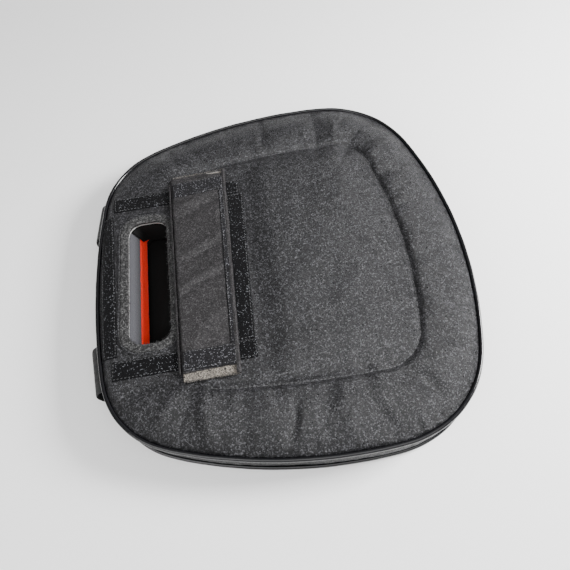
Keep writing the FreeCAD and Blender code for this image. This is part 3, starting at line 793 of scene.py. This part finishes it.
BACK_ROUND = 0.009
BACK_CELL = 0.005
STRAP_Y = 0.094
STRAP_WIDTH = 0.050
STRAP_THICK = 0.002
STRAP_RUN = 0.150


def strap_frame(side):
    """Where a strap crosses the side wall, its direction into the pad, and across it."""
    narrow = seam[seam[:, 0] < 0]
    index = np.abs(narrow[:, 1] - side * STRAP_Y).argmin()
    number = int(np.flatnonzero(seam[:, 0] < 0)[index])
    inward = -outward(seam)[number]
    return seam[number], inward, np.array([-inward[1], inward[0]])


def strap_space(points, side):
    """Points measured along a strap from the wall and across it."""
    start, inward, across = strap_frame(side)
    offset = points[:, :2] - start
    return offset @ inward, offset @ across


back_mesh = trimmed_grid(BACK_CELL)
flat = mesh_points(back_mesh)
depth, near = inside_of(flat, seam)
height = wall_foot * (1 - np.sqrt(np.clip(1 - (1 - np.clip(depth / BACK_ROUND, 0, 1)) ** 2, 0, 1)))
for side in (1, -1):
    along, across = strap_space(flat, side)
    trough = ramp((STRAP_WIDTH / 2 + 0.006 - np.abs(across)) / 0.006) \
        * ramp((STRAP_RUN + 0.006 - along) / 0.006)
    height = np.maximum(height, trough * (STRAP_THICK + 0.0003))
flat[:, 2] = height
put(back_mesh, flat)
bmesh.ops.reverse_faces(back_mesh, faces=back_mesh.faces)
back_cover = new_piece("back_cover", back_mesh)
finer(back_cover)
points = points_of(back_cover)
depth, near = inside_of(points, seam)
rise = 0.0006 * (0.5 + 0.5 * np.sin(near * 1.1 + 2.0 * np.sin(near * 0.06))) \
    * np.exp(-((depth - 0.008) / 0.006) ** 2)
rise += 0.0005 * np.clip(wobble(points, 0.03, 21.0), 0, 1)
points[:, 2] = np.maximum(points[:, 2], 0.0) + rise * np.clip(depth / 0.003, 0, 1)
move_points(back_cover, points)
thicken(back_cover, CLOTH_THICK)
fitted(back_cover, cover_cloth, "shield", "back_panel")

# ------------------------------------------------------------------ piping
# Glossy black vinyl over a cord, sewn into both seams of the side wall.  It follows the seam
# with the small unevenness of a bead fed by hand.

BEAD = 0.00225
BEAD_SIDES = 14
vinyl, tree, shader = finish("piping_vinyl", (0.003, 0.003, 0.004), 0.16, 0.4, coat=0.2)
shader.inputs["Coat Roughness"].default_value = 0.08
creases = pattern(tree, "ShaderNodeTexNoise", place_of(tree), 420.0, Detail=3.0)
relief(tree, shader, creases.outputs["Fac"], 0.00025, 0.6)
rubbed = between(tree, creases.outputs["Fac"], (0.12, 0.12, 0.12), (0.30, 0.30, 0.30), 0.35, 0.75)
tree.links.new(rubbed, shader.inputs["Roughness"])
for name, z in (("front_piping", SEAM_Z), ("back_piping", wall_foot)):
    centre = seam + outward(seam) * (BEAD - 0.0003)
    uneven = wobble(at_height(centre, z), 0.02, 5.0 + z * 100) * 0.00022
    centre = centre + outward(seam) * uneven[:, None]
    level = z + wobble(at_height(centre, z), 0.026, 8.0 + z * 100) * 0.0003
    rings = []
    for number in range(BEAD_SIDES):
        angle = number * 2 * math.pi / BEAD_SIDES
        rings.append(at_height(centre + outward(seam) * BEAD * math.cos(angle),
                               level + BEAD * math.sin(angle)))
    bead = looped(name + "_bead", rings)
    fitted(bead, vinyl, "shield", name)

# ------------------------------------------------------------------ slot facing
# A ring of the cover cloth sewn on round the slot, with its outer edge turned under, to carry
# the wear of a hand.

facing_low, facing_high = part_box("slot_facing")
FACING = (facing_high.x - facing_low.x) / 2 - slot_half[0]

profile = [(0.0006, -0.0008), (0.0006, 0.0004), (FACING - 0.0022, 0.0004),
           (FACING - 0.0012, 0.0009), (FACING - 0.0003, 0.0007), (FACING + 0.0002, -0.0002),
           (FACING - 0.0012, -0.0008)]
rings = []
for offset, lift in profile:
    flat = slot_ring(offset)
    uneven = lip_out * 0.0004 * wobble(at_height(flat, 0), 0.012, 6.6)[:, None]
    rings.append(lie_on(flat, lift) + at_height(uneven, 0))
facing = looped("facing_ring", rings)
fitted(facing, cover_cloth, "shield", "slot_facing")

# ------------------------------------------------------------------ slot binding, and painted shade inside the slot
# A bias strip folded over the slot's raw edge, its own edges frayed.  Behind it a near-black
# cloth of painted shade runs down the slot's far side and both ends and covers its floor, and
# leaves the foam bare on the near side.

BINDING_LIFT = 0.62
BINDING_RAISE = 0.0003
SHEET_THICK = 0.0006
# (0.14, 0.14, 0.14) is the colour of the painted glints.
binding_cloth = woven_cloth("binding_cloth", (0.002, 0.002, 0.0021), (0.022, 0.0215, 0.022),
                            0.0010, 0.75, 0.06, (0.14, 0.14, 0.14), 0.30)
ragged = 0.0007 * wobble(at_height(lip_line, 0), 0.006, 15.0) \
    + 0.0005 * wobble(at_height(lip_line, 0), 0.0022, 17.0)
puckers = np.sin(np.arange(len(lip_line)) * 0.9 + 2 * np.sin(np.arange(len(lip_line)) * 0.11))
profile = [(-0.0003, -0.0062, 0.2), (-0.0008, -0.0030, 0.5), (-0.0011, -0.0006, 1.0),
           (-0.0006, 0.0008, 1.0), (0.0010, 0.0014, 0.6), (0.0032, 0.0010, 0.3),
           (0.0052, 0.0007, 0.3), (0.0066, 0.0013, 0.6), (LIP - 0.0002, 0.0010, 1.0),
           (LIP, 0.0002, 1.0), (0.0060, -0.0001, 0.3), (0.0012, -0.0001, 0.2),
           (0.0002, -0.0012, 0.2), (0.0003, -0.0060, 0.2)]
rings = []
for offset, lift, share in profile:
    flat = slot_ring(offset) + lip_out * (ragged * share)[:, None]
    base = lie_on(slot_ring(max(offset, 0.0012)), 0.0)[:, 2]
    top = lift * BINDING_LIFT + BINDING_RAISE
    top = top + (0.0002 * puckers * share if lift > 0 else 0.0)
    rings.append(at_height(flat, base + top))
binding = looped("binding", rings)
lip_edge, outer_edge = rings[2], rings[8]
fitted(binding, binding_cloth, "shield", "slot_binding")

SHADE_SHEET_END = math.atan2(0.0758, -HOLE_X)
SHADE_SHEET_TOP = 0.0408
SHADE_SHEET_FOOT = foam_low + 0.0012


def slot_shade_place(u, v):
    """The slot's near-black sheet of painted shade: u round the slot, v down it."""
    angle = (2 * u - 1) * SHADE_SHEET_END
    z = SHADE_SHEET_TOP + (SHADE_SHEET_FOOT - SHADE_SHEET_TOP) * v
    ring = np.array([hole_ring(np.array([a]), h, 0.0013)[0] for a, h in zip(angle, z)])
    ring[:, :2] += 0.0006 * np.column_stack([wobble(ring, 0.02, 31.0), wobble(ring, 0.02, 33.0)])
    return ring


lining = laid("slot_shade_sheet", 160, 12, slot_shade_place)
# Near-black cloth for the slot's sheet and its floor patch: painted shade.
slot_shade_cloth, tree, shader = finish("slot_shade_cloth", (0.004, 0.004, 0.004), 0.9, 0.2)
threads = pattern(tree, "ShaderNodeTexNoise", place_of(tree), 1200.0, Detail=2.0)
paint(tree, shader, threads.outputs["Fac"], (0.002,) * 3, (0.007,) * 3)
relief(tree, shader, threads.outputs["Fac"], 0.0003)
thicken(lining, SHEET_THICK, 0.0)
fitted(lining, slot_shade_cloth, "shield", None)
# A patch of the same near-black cloth on the slot's floor: painted shade.
floor_patch = bmesh.new()
bmesh.ops.create_circle(floor_patch, segments=120, radius=1.0, cap_ends=True)
rim = mesh_points(floor_patch)
put(floor_patch, hole_ring(np.arctan2(rim[:, 1], rim[:, 0]), foam_low + 0.0011, -0.0030))
slot_floor = new_piece("slot_floor", floor_patch)
thicken(slot_floor, SHEET_THICK)
fitted(slot_floor, slot_shade_cloth, "shield", None)


def frayed(name, roots, away, count, length, thick, seed, body, material):
    """Loose yarn ends along a line of points: each a thin straight thread of a few faces."""
    chance = random.Random(seed)
    mesh = bmesh.new()
    for _ in range(count):
        at = chance.randrange(len(roots))
        root, out = Vector(roots[at]), Vector(away[at])
        side = out.cross(Vector((0, 0, 1)))
        reach = length * chance.uniform(0.4, 1.3)
        heading = (out + side * chance.uniform(-1.1, 1.1)
                   + Vector((0, 0, chance.uniform(-0.25, 0.55)))).normalized()
        made = bmesh.ops.create_cone(mesh, segments=4, radius1=thick / 2, radius2=thick / 3,
                                     depth=reach, cap_ends=True)
        turn = Vector((0, 0, 1)).rotation_difference(heading).to_matrix().to_4x4()
        where = Matrix.Translation(root + heading * reach * 0.35) @ turn
        bmesh.ops.transform(mesh, matrix=where, verts=made["verts"])
    fitted(new_piece(name, mesh), material, body, None)


lip_away = np.column_stack([lip_out, np.zeros(len(lip_out))])
frayed("binding_fray_inner", lip_edge, -lip_away, 330, 0.0022, 0.00032, 5, "shield",
       binding_cloth)
frayed("binding_fray_outer", outer_edge, lip_away, 200, 0.0013, 0.00030, 6, "shield",
       binding_cloth)

# ------------------------------------------------------------------ loop tapes
# Four lengths of woven tape with a pile of fine loops, sewn flat round the slot to catch the
# flap's hooks.  The pile is matted, and its tufts carry painted glints: pale specks on their tops.

TAPE = 0.0012


def pile(name, dark, pale, tuft_glint_paint, flecks, size, depth, rough=0.85):
    """A napped face: tangled tufts, deep between them, with painted glints as pale specks on their
    tops.
    """
    nap, tree, shader = finish(name, dark, rough, 0.12, 0.02, 0.5)
    where = place_of(tree)
    tufts = pattern(tree, "ShaderNodeTexVoronoi", where, 1 / size)
    tangle = pattern(tree, "ShaderNodeTexNoise", where, 1.6 / size, Detail=4.0, Distortion=1.5)
    height = sums(tree, "ADD", sums(tree, "SUBTRACT", 1.0, tufts.outputs["Distance"]),
                  tangle.outputs["Fac"])
    split = tree.nodes.new("ShaderNodeSeparateColor")
    tree.links.new(tufts.outputs["Color"], split.inputs["Color"])
    # Painted glints: pale specks, only on the tops of the tufts.
    tuft_glint_share = between(tree, split.outputs["Red"], (0, 0, 0), (1, 1, 1), 1 - flecks, 1 - flecks * 0.3)
    core = between(tree, tufts.outputs["Distance"], (1, 1, 1), (0, 0, 0), 0.15, 0.5)
    tuft_glint_share = sums(tree, "MULTIPLY", tuft_glint_share, core)
    tone = between(tree, tangle.outputs["Fac"], dark, pale, 0.35, 0.7)
    tree.links.new(blended(tree, tuft_glint_share, tone, tuft_glint_paint), shader.inputs["Base Color"])
    relief(tree, shader, height, depth, 0.9)
    return nap


# (0.34, 0.35, 0.38) is the colour of the painted glints.
loop_pile = pile("loop_pile", (0.0005, 0.0005, 0.0006), (0.004, 0.004, 0.005),
                 (0.34, 0.35, 0.38), 0.15, 0.0009, 0.0007)


def tape_strip(name, corners, base, height, rough_top, seed, step=0.0013):
    """A strip of tape between four corners: rounded selvedges, a slightly uneven top."""
    a, b, c, d = (np.array(corner) for corner in corners)
    width = np.linalg.norm(b - a)
    length = np.linalg.norm(d - a)
    across = max(6, int(width / step))
    along = max(6, int(length / step))

    def place(u, v):
        flat = (a * (1 - u)[:, None] + b * u[:, None]) * (1 - v)[:, None] \
            + (d * (1 - u)[:, None] + c * u[:, None]) * v[:, None]
        edge = np.minimum(np.minimum(u, 1 - u) * width, np.minimum(v, 1 - v) * length)
        shape = np.sqrt(np.clip(edge / 0.0009, 0.03, 1))
        bottom = np.array([base(x, y) for x, y in flat])
        spots = at_height(flat, 0)
        tufts = wobble(spots, 0.0016, seed) * rough_top
        drift = wobble(spots, 0.03, seed + 9) * 0.0003
        wander = np.column_stack([wobble(spots, 0.02, seed + 3), wobble(spots, 0.02, seed + 5)])
        flat = flat + 0.0004 * wander
        return at_height(flat, bottom + height * shape + (tufts + drift) * (edge > 0.0004))

    return laid(name, across, along, place, span=(width, length))


def close_up(piece, mesh):
    """Fills the open ends of a mesh, turns its faces outwards and gives it to its piece."""
    bmesh.ops.holes_fill(mesh, edges=[e for e in mesh.edges if e.is_boundary], sides=0)
    bmesh.ops.recalc_face_normals(mesh, faces=mesh.faces)
    mesh.to_mesh(piece.data)
    mesh.free()


def skirt(piece, depth):
    """Closes the underside of a laid strip."""
    mesh = bmesh.new()
    mesh.from_mesh(piece.data)
    rim = [e for e in mesh.edges if e.is_boundary]
    made = bmesh.ops.extrude_edge_only(mesh, edges=rim)
    low = [v for v in made["geom"] if isinstance(v, bmesh.types.BMVert)]
    bmesh.ops.translate(mesh, vec=(0, 0, -depth), verts=low)
    close_up(piece, mesh)


def corners_of(node, skew=(0, 0, 0, 0)):
    """A tape's corners in the CAD frame, with each x moved a little."""
    low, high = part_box(node)
    spots = [(low.x, low.y), (high.x, low.y), (high.x, high.y), (low.x, high.y)]
    return [(x + dx, y) for (x, y), dx in zip(spots, skew)]


TAPES = [
    # node, move of each corner's x: low left, low right, high right, high left
    ("loop_tape_end", (0.0016, 0.0012, -0.0050, -0.0052)),
    ("loop_tape_left", (0.0, 0.0, 0.0, 0.0)),
    ("loop_tape_right", (0.0, -0.0040, -0.0040, 0.0)),
    ("loop_tape_inner", (-0.0045, -0.0050, 0.0040, 0.0040)),
]
for seed, (node, skew) in enumerate(TAPES):
    tape = tape_strip(node + "_strip", corners_of(node, skew), cover_height, TAPE, 0.00022,
                      40 + seed * 7)
    skirt(tape, TAPE * 0.8)
    fitted(tape, loop_pile, "shield", node)

# ------------------------------------------------------------------ flap
# A flat pocket of cloth over felt.  The outer cloth lies against the cover and turns up round
# the free edge, the lining faces up while the flap is open, and the felt shows at its raw end.

flap_low, flap_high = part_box("flap_outer")[0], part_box("flap_lining")[1]
FLAP_ROOT = (flap_low.x + 0.0006, flap_low.x + 0.0012)
FLAP_FREE = (flap_high.x - 0.0090, flap_high.x - 0.0003)
FLAP_ENDS = (flap_low.y, flap_high.y)
FLAP_WIDTH = 0.066
FLAP_LENGTH = 0.258
# (0.085, 0.080, 0.084) is the colour of the painted glints.
flap_cloth = woven_cloth("flap_cloth", (0.0020, 0.0017, 0.0019), (0.012, 0.0108, 0.0118), WEAVE,
                         0.43, 0.04, (0.085, 0.080, 0.084), 0.26)
CREASES = [
    # x, y, direction in degrees, length, width, height
    (-0.083, 0.090, 22, 0.070, 0.006, 0.0011),
    (-0.080, 0.076, 24, 0.070, 0.005, -0.0008),
    (-0.078, 0.030, 24, 0.065, 0.006, 0.0008),
    (-0.082, 0.018, 26, 0.060, 0.005, -0.0008),
    (-0.076, -0.012, 28, 0.070, 0.006, 0.0010),
    (-0.084, -0.024, 27, 0.060, 0.005, -0.0009),
    (-0.074, -0.062, 32, 0.050, 0.006, 0.0006),
    (-0.064, -0.084, 20, 0.045, 0.005, -0.0005),
    (-0.100, -0.095, 70, 0.050, 0.005, 0.0005),
    (-0.060, 0.060, 80, 0.060, 0.005, 0.0005),
]


def flap_spot(u, v):
    """A place on the flap: u from its fold to its free edge, v from its right end to its left."""
    root = FLAP_ROOT[1] + (FLAP_ROOT[0] - FLAP_ROOT[1]) * v
    free = FLAP_FREE[0] + (FLAP_FREE[1] - FLAP_FREE[0]) * v
    return np.column_stack([root + (free - root) * u, FLAP_ENDS[0]
                            + (FLAP_ENDS[1] + 0.0025 * u - FLAP_ENDS[0]) * v])


def lining_heights(flat):
    """Height of the flap's lining at flat points."""
    soft = 0.0004 * wobble(at_height(flat, 0), 0.022, 51.0)
    creased = np.zeros(len(flat))
    for x, y, heading, length, width, height in CREASES:
        creased += fold_rise(flat, x, y, heading, length, width, 1.5 * height,
                             0.003, 0.02, y * 60)
    return flap_high.z - 0.0004 + creased + soft


def lining_height(x, y):
    """Height of the flap's lining at a point of it."""
    return float(lining_heights(np.array([[x, y]]))[0])


LINING_FROM = (FLAP_ENDS[0] + 0.0090, FLAP_ENDS[1] - 0.0006)


def flap_lining_place(u, v):
    """The flap's lining: u from the fold to the free edge, v from its right end to its left."""
    share = (LINING_FROM[0] - FLAP_ENDS[0]) / (FLAP_ENDS[1] - FLAP_ENDS[0])
    upper = (LINING_FROM[1] - FLAP_ENDS[0]) / (FLAP_ENDS[1] - FLAP_ENDS[0])
    reach = upper - 0.013 * ramp((u - 0.60) / 0.2) - 0.002 * wobble(
        np.column_stack([u, u, u]), 0.1, 57.0)
    lower = share - 0.004 * ramp((0.5 - u) / 0.5)
    flat = flap_spot(u * 0.985, lower + (reach - lower) * v)
    edge = np.minimum(np.minimum(u, 1 - u) * FLAP_WIDTH, np.minimum(v, 1 - v) * 0.25)
    drop = 0.0010 * np.exp(-edge / 0.0012)
    ragged = 0.0006 * wobble(at_height(flat, 0), 0.004, 61.0) * (np.minimum(v, 1 - v) < 0.01)
    flat = flat + np.column_stack([np.zeros(len(flat)), ragged])
    return at_height(flat, lining_heights(flat) - drop)


flap_lining = laid("flap_lining_cloth", 44, 160, flap_lining_place, span=(0.064, 0.245))
thicken(flap_lining, CLOTH_THICK)
fitted(flap_lining, flap_cloth, "flap", "flap_lining")

OUTER_THICK = 0.0005
HEM_TURN = 0.0020
HEM_RADIUS = 0.0017


def outer_place(u, v):
    """Along u the cloth runs from the fold to the free edge, turns up round it and comes back."""
    flat_share, turn_share = 0.84, 0.93
    out = np.clip(u / flat_share, 0, 1)
    angle = np.clip((u - flat_share) / (turn_share - flat_share), 0, 1) * math.pi
    back = np.clip((u - turn_share) / (1 - turn_share), 0, 1)
    flat = flap_spot(np.ones(len(u)) * out, v)
    wave = 0.0005 * wobble(at_height(flat, 0), 0.018, 71.0)
    x = flat[:, 0] - HEM_RADIUS * (out >= 1) + HEM_RADIUS * np.sin(angle) - HEM_TURN * back
    x = x + wave * (out > 0.99)
    base = flap_low.z + 0.0006
    top = flap_high.z + 0.0003
    middle, half = (base + top) / 2, (top - base) / 2
    z = np.where(out < 1, base, middle - half * np.cos(angle)) - 0.0004 * back
    z = z + np.where(out < 1, 0.0, 0.0002) * wobble(at_height(flat, 0), 0.009, 72.0)
    return np.column_stack([x, flat[:, 1], z])


flap_outer = laid("flap_outer_cloth", 70, 150, outer_place, span=(0.078, FLAP_LENGTH))
thicken(flap_outer, OUTER_THICK)
fitted(flap_outer, flap_cloth, "flap", "flap_outer")

felt_finish, tree, shader = finish("felt", (0.15, 0.135, 0.115), 0.95, 0.15, 0.3)
fuzz = pattern(tree, "ShaderNodeTexNoise", place_of(tree), 380.0, Detail=6.0, Distortion=2.5)
paint(tree, shader, fuzz.outputs["Fac"], (0.010, 0.009, 0.008), (0.24, 0.215, 0.185),
      0.40, 0.60)
relief(tree, shader, fuzz.outputs["Fac"], 0.0009)


def squared(wave, power):
    """A sine or cosine with its crests flattened, for a section with rounded corners."""
    return np.sign(wave) * np.abs(wave) ** power


def felt_place(u, v):
    """The felt pad: u round its section, v from its right end to its left."""
    turn = u * 2 * math.pi
    half = 0.5 + 0.5 * squared(np.cos(turn), 0.25)
    share = 0.012 + 0.955 * half
    flat = flap_spot(share, 0.0015 + 0.996 * v)
    low, high = flap_low.z + 0.0016, lining_heights(flat) - 0.0014
    lift = squared(np.sin(turn), 0.25)
    end = np.minimum(v, 1 - v) * FLAP_LENGTH
    z = (low + high) / 2 + lift * (high - low) / 2 * np.clip(end / 0.0012, 0.0, 1) ** 0.5
    z = z + 0.0002 * wobble(at_height(flat, 0), 0.002, 81.0)
    ragged = 0.0007 * wobble(at_height(flat, 0), 0.003, 83.0) * (end < 0.003)
    flat = flat + np.column_stack([np.zeros(len(flat)), ragged])
    return at_height(flat, z)


felt_pad = laid("felt_pad", 48, 150, felt_place, closed=True)
fitted(felt_pad, felt_finish, "flap", "flap_stiffener")
for number, (v, sense) in enumerate(((0.001, -1), (0.999, 1))):
    share = np.linspace(0.05, 0.97, 80)
    roots = at_height(flap_spot(share, np.full(80, v)), flap_high.z - 0.0014)
    away = np.tile([0.0, float(sense), 0.0], (80, 1))
    frayed("felt_fray_%d" % number, roots, away, 170, 0.0020, 0.00030, 15 + number, "flap",
           felt_finish)


def hem_place(u, v):
    """The turned edge at the lining's rim: a thin roll along the flap's free edge."""
    turn = u * 2 * math.pi
    flat = flap_spot(np.full(len(v), 0.975), 0.04 + 0.955 * v)
    flat[:, 0] += 0.0011 * np.cos(turn)
    return at_height(flat, flap_high.z + 0.0002 + 0.0007 * np.sin(turn))


hem_roll = laid("hem_roll", 10, 120, hem_place, closed=True)
fitted(hem_roll, flap_cloth, "flap", "flap_hem")

# ------------------------------------------------------------------ flap fold
# The flap's cloth carries on past its fold and is sewn down beside the slot, where it bends when
# the flap is turned over; here it is laid in one fixed shape, round the fold of the open flap.

strip_low, strip_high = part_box("flap_hinge_strip")
hinge_x, _, hinge_z = frame["record"]["behaviour"]["joints"][0]["pos_m"]
FOLD_LONGER = 1.28
FOLD_PATH = [(strip_high.x, 0.0464), (strip_high.x - 0.004, 0.0468), (strip_low.x, 0.0467),
             (strip_low.x - 0.0030, 0.0470), (hinge_x - 0.0013, 0.0476),
             (hinge_x - 0.0022, 0.0486), (hinge_x - 0.0017, hinge_z - 0.0002),
             (hinge_x - 0.0002, hinge_z + 0.0006)]


def fold_place(u, v):
    """The flap's fold: u along its cloth from the sewn part to the flap, v along the fold."""
    path = np.array(FOLD_PATH)
    steps = distances(path)
    at = u * steps[-1]
    y = strip_low.y * FOLD_LONGER + (strip_high.y - strip_low.y) * FOLD_LONGER * v
    x = np.interp(at, steps, path[:, 0]) + 0.0004 * wobble(np.column_stack([u, y, y]), 0.012, 91.0)
    return np.column_stack([x, y, np.interp(at, steps, path[:, 1])])


fold_web = laid("fold_web", 36, 150, fold_place, span=(0.02, 0.24))
fold_web.data.materials.append(flap_cloth)
thicken(fold_web, SHEET_THICK, 0.0)
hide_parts("flap_hinge_strip")
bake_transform(fold_web)

# ------------------------------------------------------------------ hook tapes
# Woven tape with stiff cut hooks, sewn on the flap's lining: a wide length across each end and
# a narrow one along the free edge.

# (0.28, 0.28, 0.31) is the colour of the painted glints on its tufts.
hook_face = pile("hook_face", (0.0015, 0.0015, 0.0018), (0.020, 0.0195, 0.022),
                 (0.28, 0.28, 0.31), 0.34, 0.0011, 0.0006, 0.7)


def flap_corners(u0, u1, y0, y1):
    """Corners of a tape on the flap, from shares of its width and places along it."""
    v = (np.array([y0, y0, y1, y1]) - FLAP_ENDS[0]) / (FLAP_ENDS[1] - FLAP_ENDS[0])
    return flap_spot(np.array([u0, u1, u1, u0]), v)


hook_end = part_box("hook_tape_left")
hook_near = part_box("hook_tape_right")
HOOKS = [
    ("hook_tape_left", flap_corners(0.02, 0.962, hook_end[0].y, hook_end[1].y + 0.001)),
    ("hook_tape_right", flap_corners(0.02, 0.962, hook_near[0].y - 0.001, hook_near[1].y)),
    ("hook_tape_edge", flap_corners(0.862, 0.962, hook_near[1].y + 0.0005,
                                    hook_end[0].y - 0.0005)),
]
for seed, (node, corners) in enumerate(HOOKS):
    tape = tape_strip(node + "_strip", corners, lining_height, 0.0010, 0.00026, 101 + seed * 7)
    skirt(tape, 0.0007)
    fitted(tape, hook_face, "flap", node)

# ------------------------------------------------------------------ arm straps
# Two lengths of 50 mm black webbing.  Each is sewn under the front bead, comes down outside the
# wall and over the back bead, and runs along the back, held there by a crossed square of stitches.

webbing_finish, tree, shader = finish("webbing", (0.003, 0.003, 0.0035), 0.6, 0.25, 0.04)
where = place_of(tree, True)
ribs = pattern(tree, "ShaderNodeTexWave", where, 260.0, bands_direction="X", Distortion=0.4)
picks = pattern(tree, "ShaderNodeTexWave", where, 420.0, bands_direction="Y", Distortion=0.4)
height = sums(tree, "ADD", ribs.outputs["Fac"], sums(tree, "MULTIPLY", picks.outputs["Fac"], 0.6))
relief(tree, shader, height, 0.0003, 0.9)
# Painted shade: the colour follows the weave's relief, darker in the grooves between ribs and
# picks.
paint(tree, shader, height, (0.001, 0.001, 0.0012), (0.012, 0.012, 0.013), 0.3, 1.0)
bead_out = 0.0044 + 0.0036 + STRAP_THICK / 2
strap_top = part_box("arm_strap_left")[1].z - 0.0006
STRAP_PATH = [(-0.0013, strap_top), (-0.0060, strap_top - 0.0016), (-0.0105, strap_top - 0.0048),
              (-0.0132, strap_top - 0.0100), (-0.0138, strap_top - 0.016), (-0.0125, 0.0120),
              (-bead_out - 0.0006, 0.0060), (-bead_out + 0.0020, 0.0026),
              (-bead_out + 0.0048, 0.0012), (0.004, 0.0010), (0.05, 0.0010), (0.10, 0.0010),
              (STRAP_RUN - 0.002, 0.0010)]


def strap_lines(count):
    """The strap's middle line and the way out of its outer face, by distance along it."""
    path = np.array(STRAP_PATH)
    steps = distances(path)
    at = np.linspace(0, steps[-1], count)
    line = np.column_stack([np.interp(at, steps, path[:, k]) for k in (0, 1)])
    for _ in range(6):
        line[1:-1] = (line[:-2] + 2 * line[1:-1] + line[2:]) / 4
    along = np.gradient(line, axis=0)
    along /= np.linalg.norm(along, axis=1, keepdims=True)
    return line, np.column_stack([along[:, 1], -along[:, 0]]), steps[-1]


for name, side in (("arm_strap_left", 1), ("arm_strap_right", -1)):
    start, inward, across = strap_frame(side)
    line, face, run = strap_lines(260)
    rings = []
    for spot, out in zip(line, face):
        turn = np.linspace(0, 2 * math.pi, 44, endpoint=False)
        wide = squared(np.cos(turn), 0.28) * STRAP_WIDTH / 2
        deep = squared(np.sin(turn), 0.28) * (STRAP_THICK - 0.0003) / 2
        local = spot[None] + deep[:, None] * out[None]
        flat = start + local[:, :1] * inward + wide[:, None] * across
        rings.append(at_height(flat, np.maximum(local[:, 1], 0.00005)))
    mesh_rings = np.array(rings)

    def place(u, v, rings=mesh_rings):
        row = np.rint(v * (len(rings) - 1)).astype(int)
        column = np.rint(u * rings.shape[1]).astype(int) % rings.shape[1]
        return rings[row, column]

    strap = laid(name + "_webbing", 44, 259, place, span=(0.104, run), join=True)
    mesh = bmesh.new()
    mesh.from_mesh(strap.data)
    close_up(strap, mesh)
    fitted(strap, webbing_finish, "shield", name)
for name in ("strap_backing_left", "strap_backing_right"):
    patch = frame["nodes"][name]
    patch.data.materials.clear()
    patch.data.materials.append(cover_cloth)

# ------------------------------------------------------------------ stitching
# Bonded black thread: one row down the quilted line, rows round the tapes, the slot's facing
# and the flap, and a crossed square on each strap.  Every stitch is its own short piece.

thread, tree, shader = finish("thread", (0.030, 0.030, 0.032), 0.45, 0.5, 0.2)
twist = pattern(tree, "ShaderNodeTexNoise", place_of(tree), 2500.0, Detail=2.0)
paint(tree, shader, twist.outputs["Fac"], (0.015, 0.015, 0.016), (0.085, 0.085, 0.09))
relief(tree, shader, twist.outputs["Fac"], 0.0001)


def sewn_line(name, lines, body, length=0.0026, gap=0.0011, thick=0.00065):
    """Rows of stitches along lines of points that lie on the cloth."""
    mesh = bmesh.new()
    unit = bmesh.new()
    bmesh.ops.create_uvsphere(unit, u_segments=6, v_segments=5, radius=0.5)
    shape = bpy.data.meshes.new("stitch")
    unit.to_mesh(shape)
    unit.free()
    for line in lines:
        line = np.array(line)
        steps = distances(line)
        stops = np.arange(length / 2, steps[-1] - length / 2, length + gap)
        spots = [np.column_stack([np.interp(stops + shift, steps, line[:, k]) for k in range(3)])
                 for shift in (-length / 2, length / 2)]
        for first, last in zip(*spots):
            middle, ahead = Vector((first + last) / 2), Vector(last - first)
            turn = ahead.to_track_quat("X", "Z").to_matrix().to_4x4()
            matrix = Matrix.Translation(middle) @ turn \
                @ Matrix.Diagonal((length, thick, thick, 1))
            shape.transform(matrix)
            mesh.from_mesh(shape)
            shape.transform(matrix.inverted())
    bpy.data.meshes.remove(shape)
    piece = new_piece(name, mesh)
    fitted(piece, thread, body, None)
    return piece


kept = quilt[:, 0] > quilt_start
first = int(np.flatnonzero(kept & ~np.roll(kept, 1))[0])
quilt_row = np.roll(quilt, -first, axis=0)[:int(kept.sum())]
quilting = sewn_line("quilting", [lie_on(quilt_row, 0.00015)], "shield", 0.0030, 0.0010, 0.0007)
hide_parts("quilting_stitch")


def inset_row(corners, inset, height):
    """A closed row just inside four corners."""
    spots = np.array(corners)
    middle = spots.mean(axis=0)
    spots = spots - np.sign(spots - middle) * inset
    row = []
    for a, b in zip(spots, np.roll(spots, -1, 0)):
        row += [a + (b - a) * share for share in np.linspace(0, 1, 40, endpoint=False)]
    row.append(spots[0])
    return [(x, y, height(x, y)) for x, y in row]


sewn_line("tape_stitching", [inset_row(corners_of(node, skew), 0.0017,
                                       lambda x, y: cover_height(x, y) + TAPE - 0.0001)
                             for node, skew in TAPES], "shield")
facing_row = slot_ring(FACING - 0.0021)
sewn_line("facing_stitching", [lie_on(np.vstack([facing_row, facing_row[:1]]), 0.0008)], "shield")
sewn_line("hook_stitching", [inset_row(corners, 0.0016,
                                       lambda x, y: lining_height(x, y) + 0.0009)
                             for _, corners in HOOKS], "flap")
hem_v = np.linspace(0.045, 0.985, 120)
hem_row = flap_spot(np.full(120, 0.968), hem_v)
sewn_line("hem_stitching", [at_height(hem_row, flap_high.z + 0.0004)], "flap")
square = []
for side in (1, -1):
    start, inward, across = strap_frame(side)
    near, far, half = STRAP_RUN - 0.046, STRAP_RUN - 0.006, 0.019
    spots = [start + inward * a + across * b for a, b in
             ((near, -half), (far, -half), (far, half), (near, half), (near, -half), (far, half))]
    spots += [start + inward * far - across * half, start + inward * near + across * half]
    square.append(at_height(np.array(spots[:6]), 0.00008))
    square.append(at_height(np.array(spots[6:]), 0.00008))
sewn_line("strap_stitching", square, "shield", 0.0032, 0.0010, 0.0007)
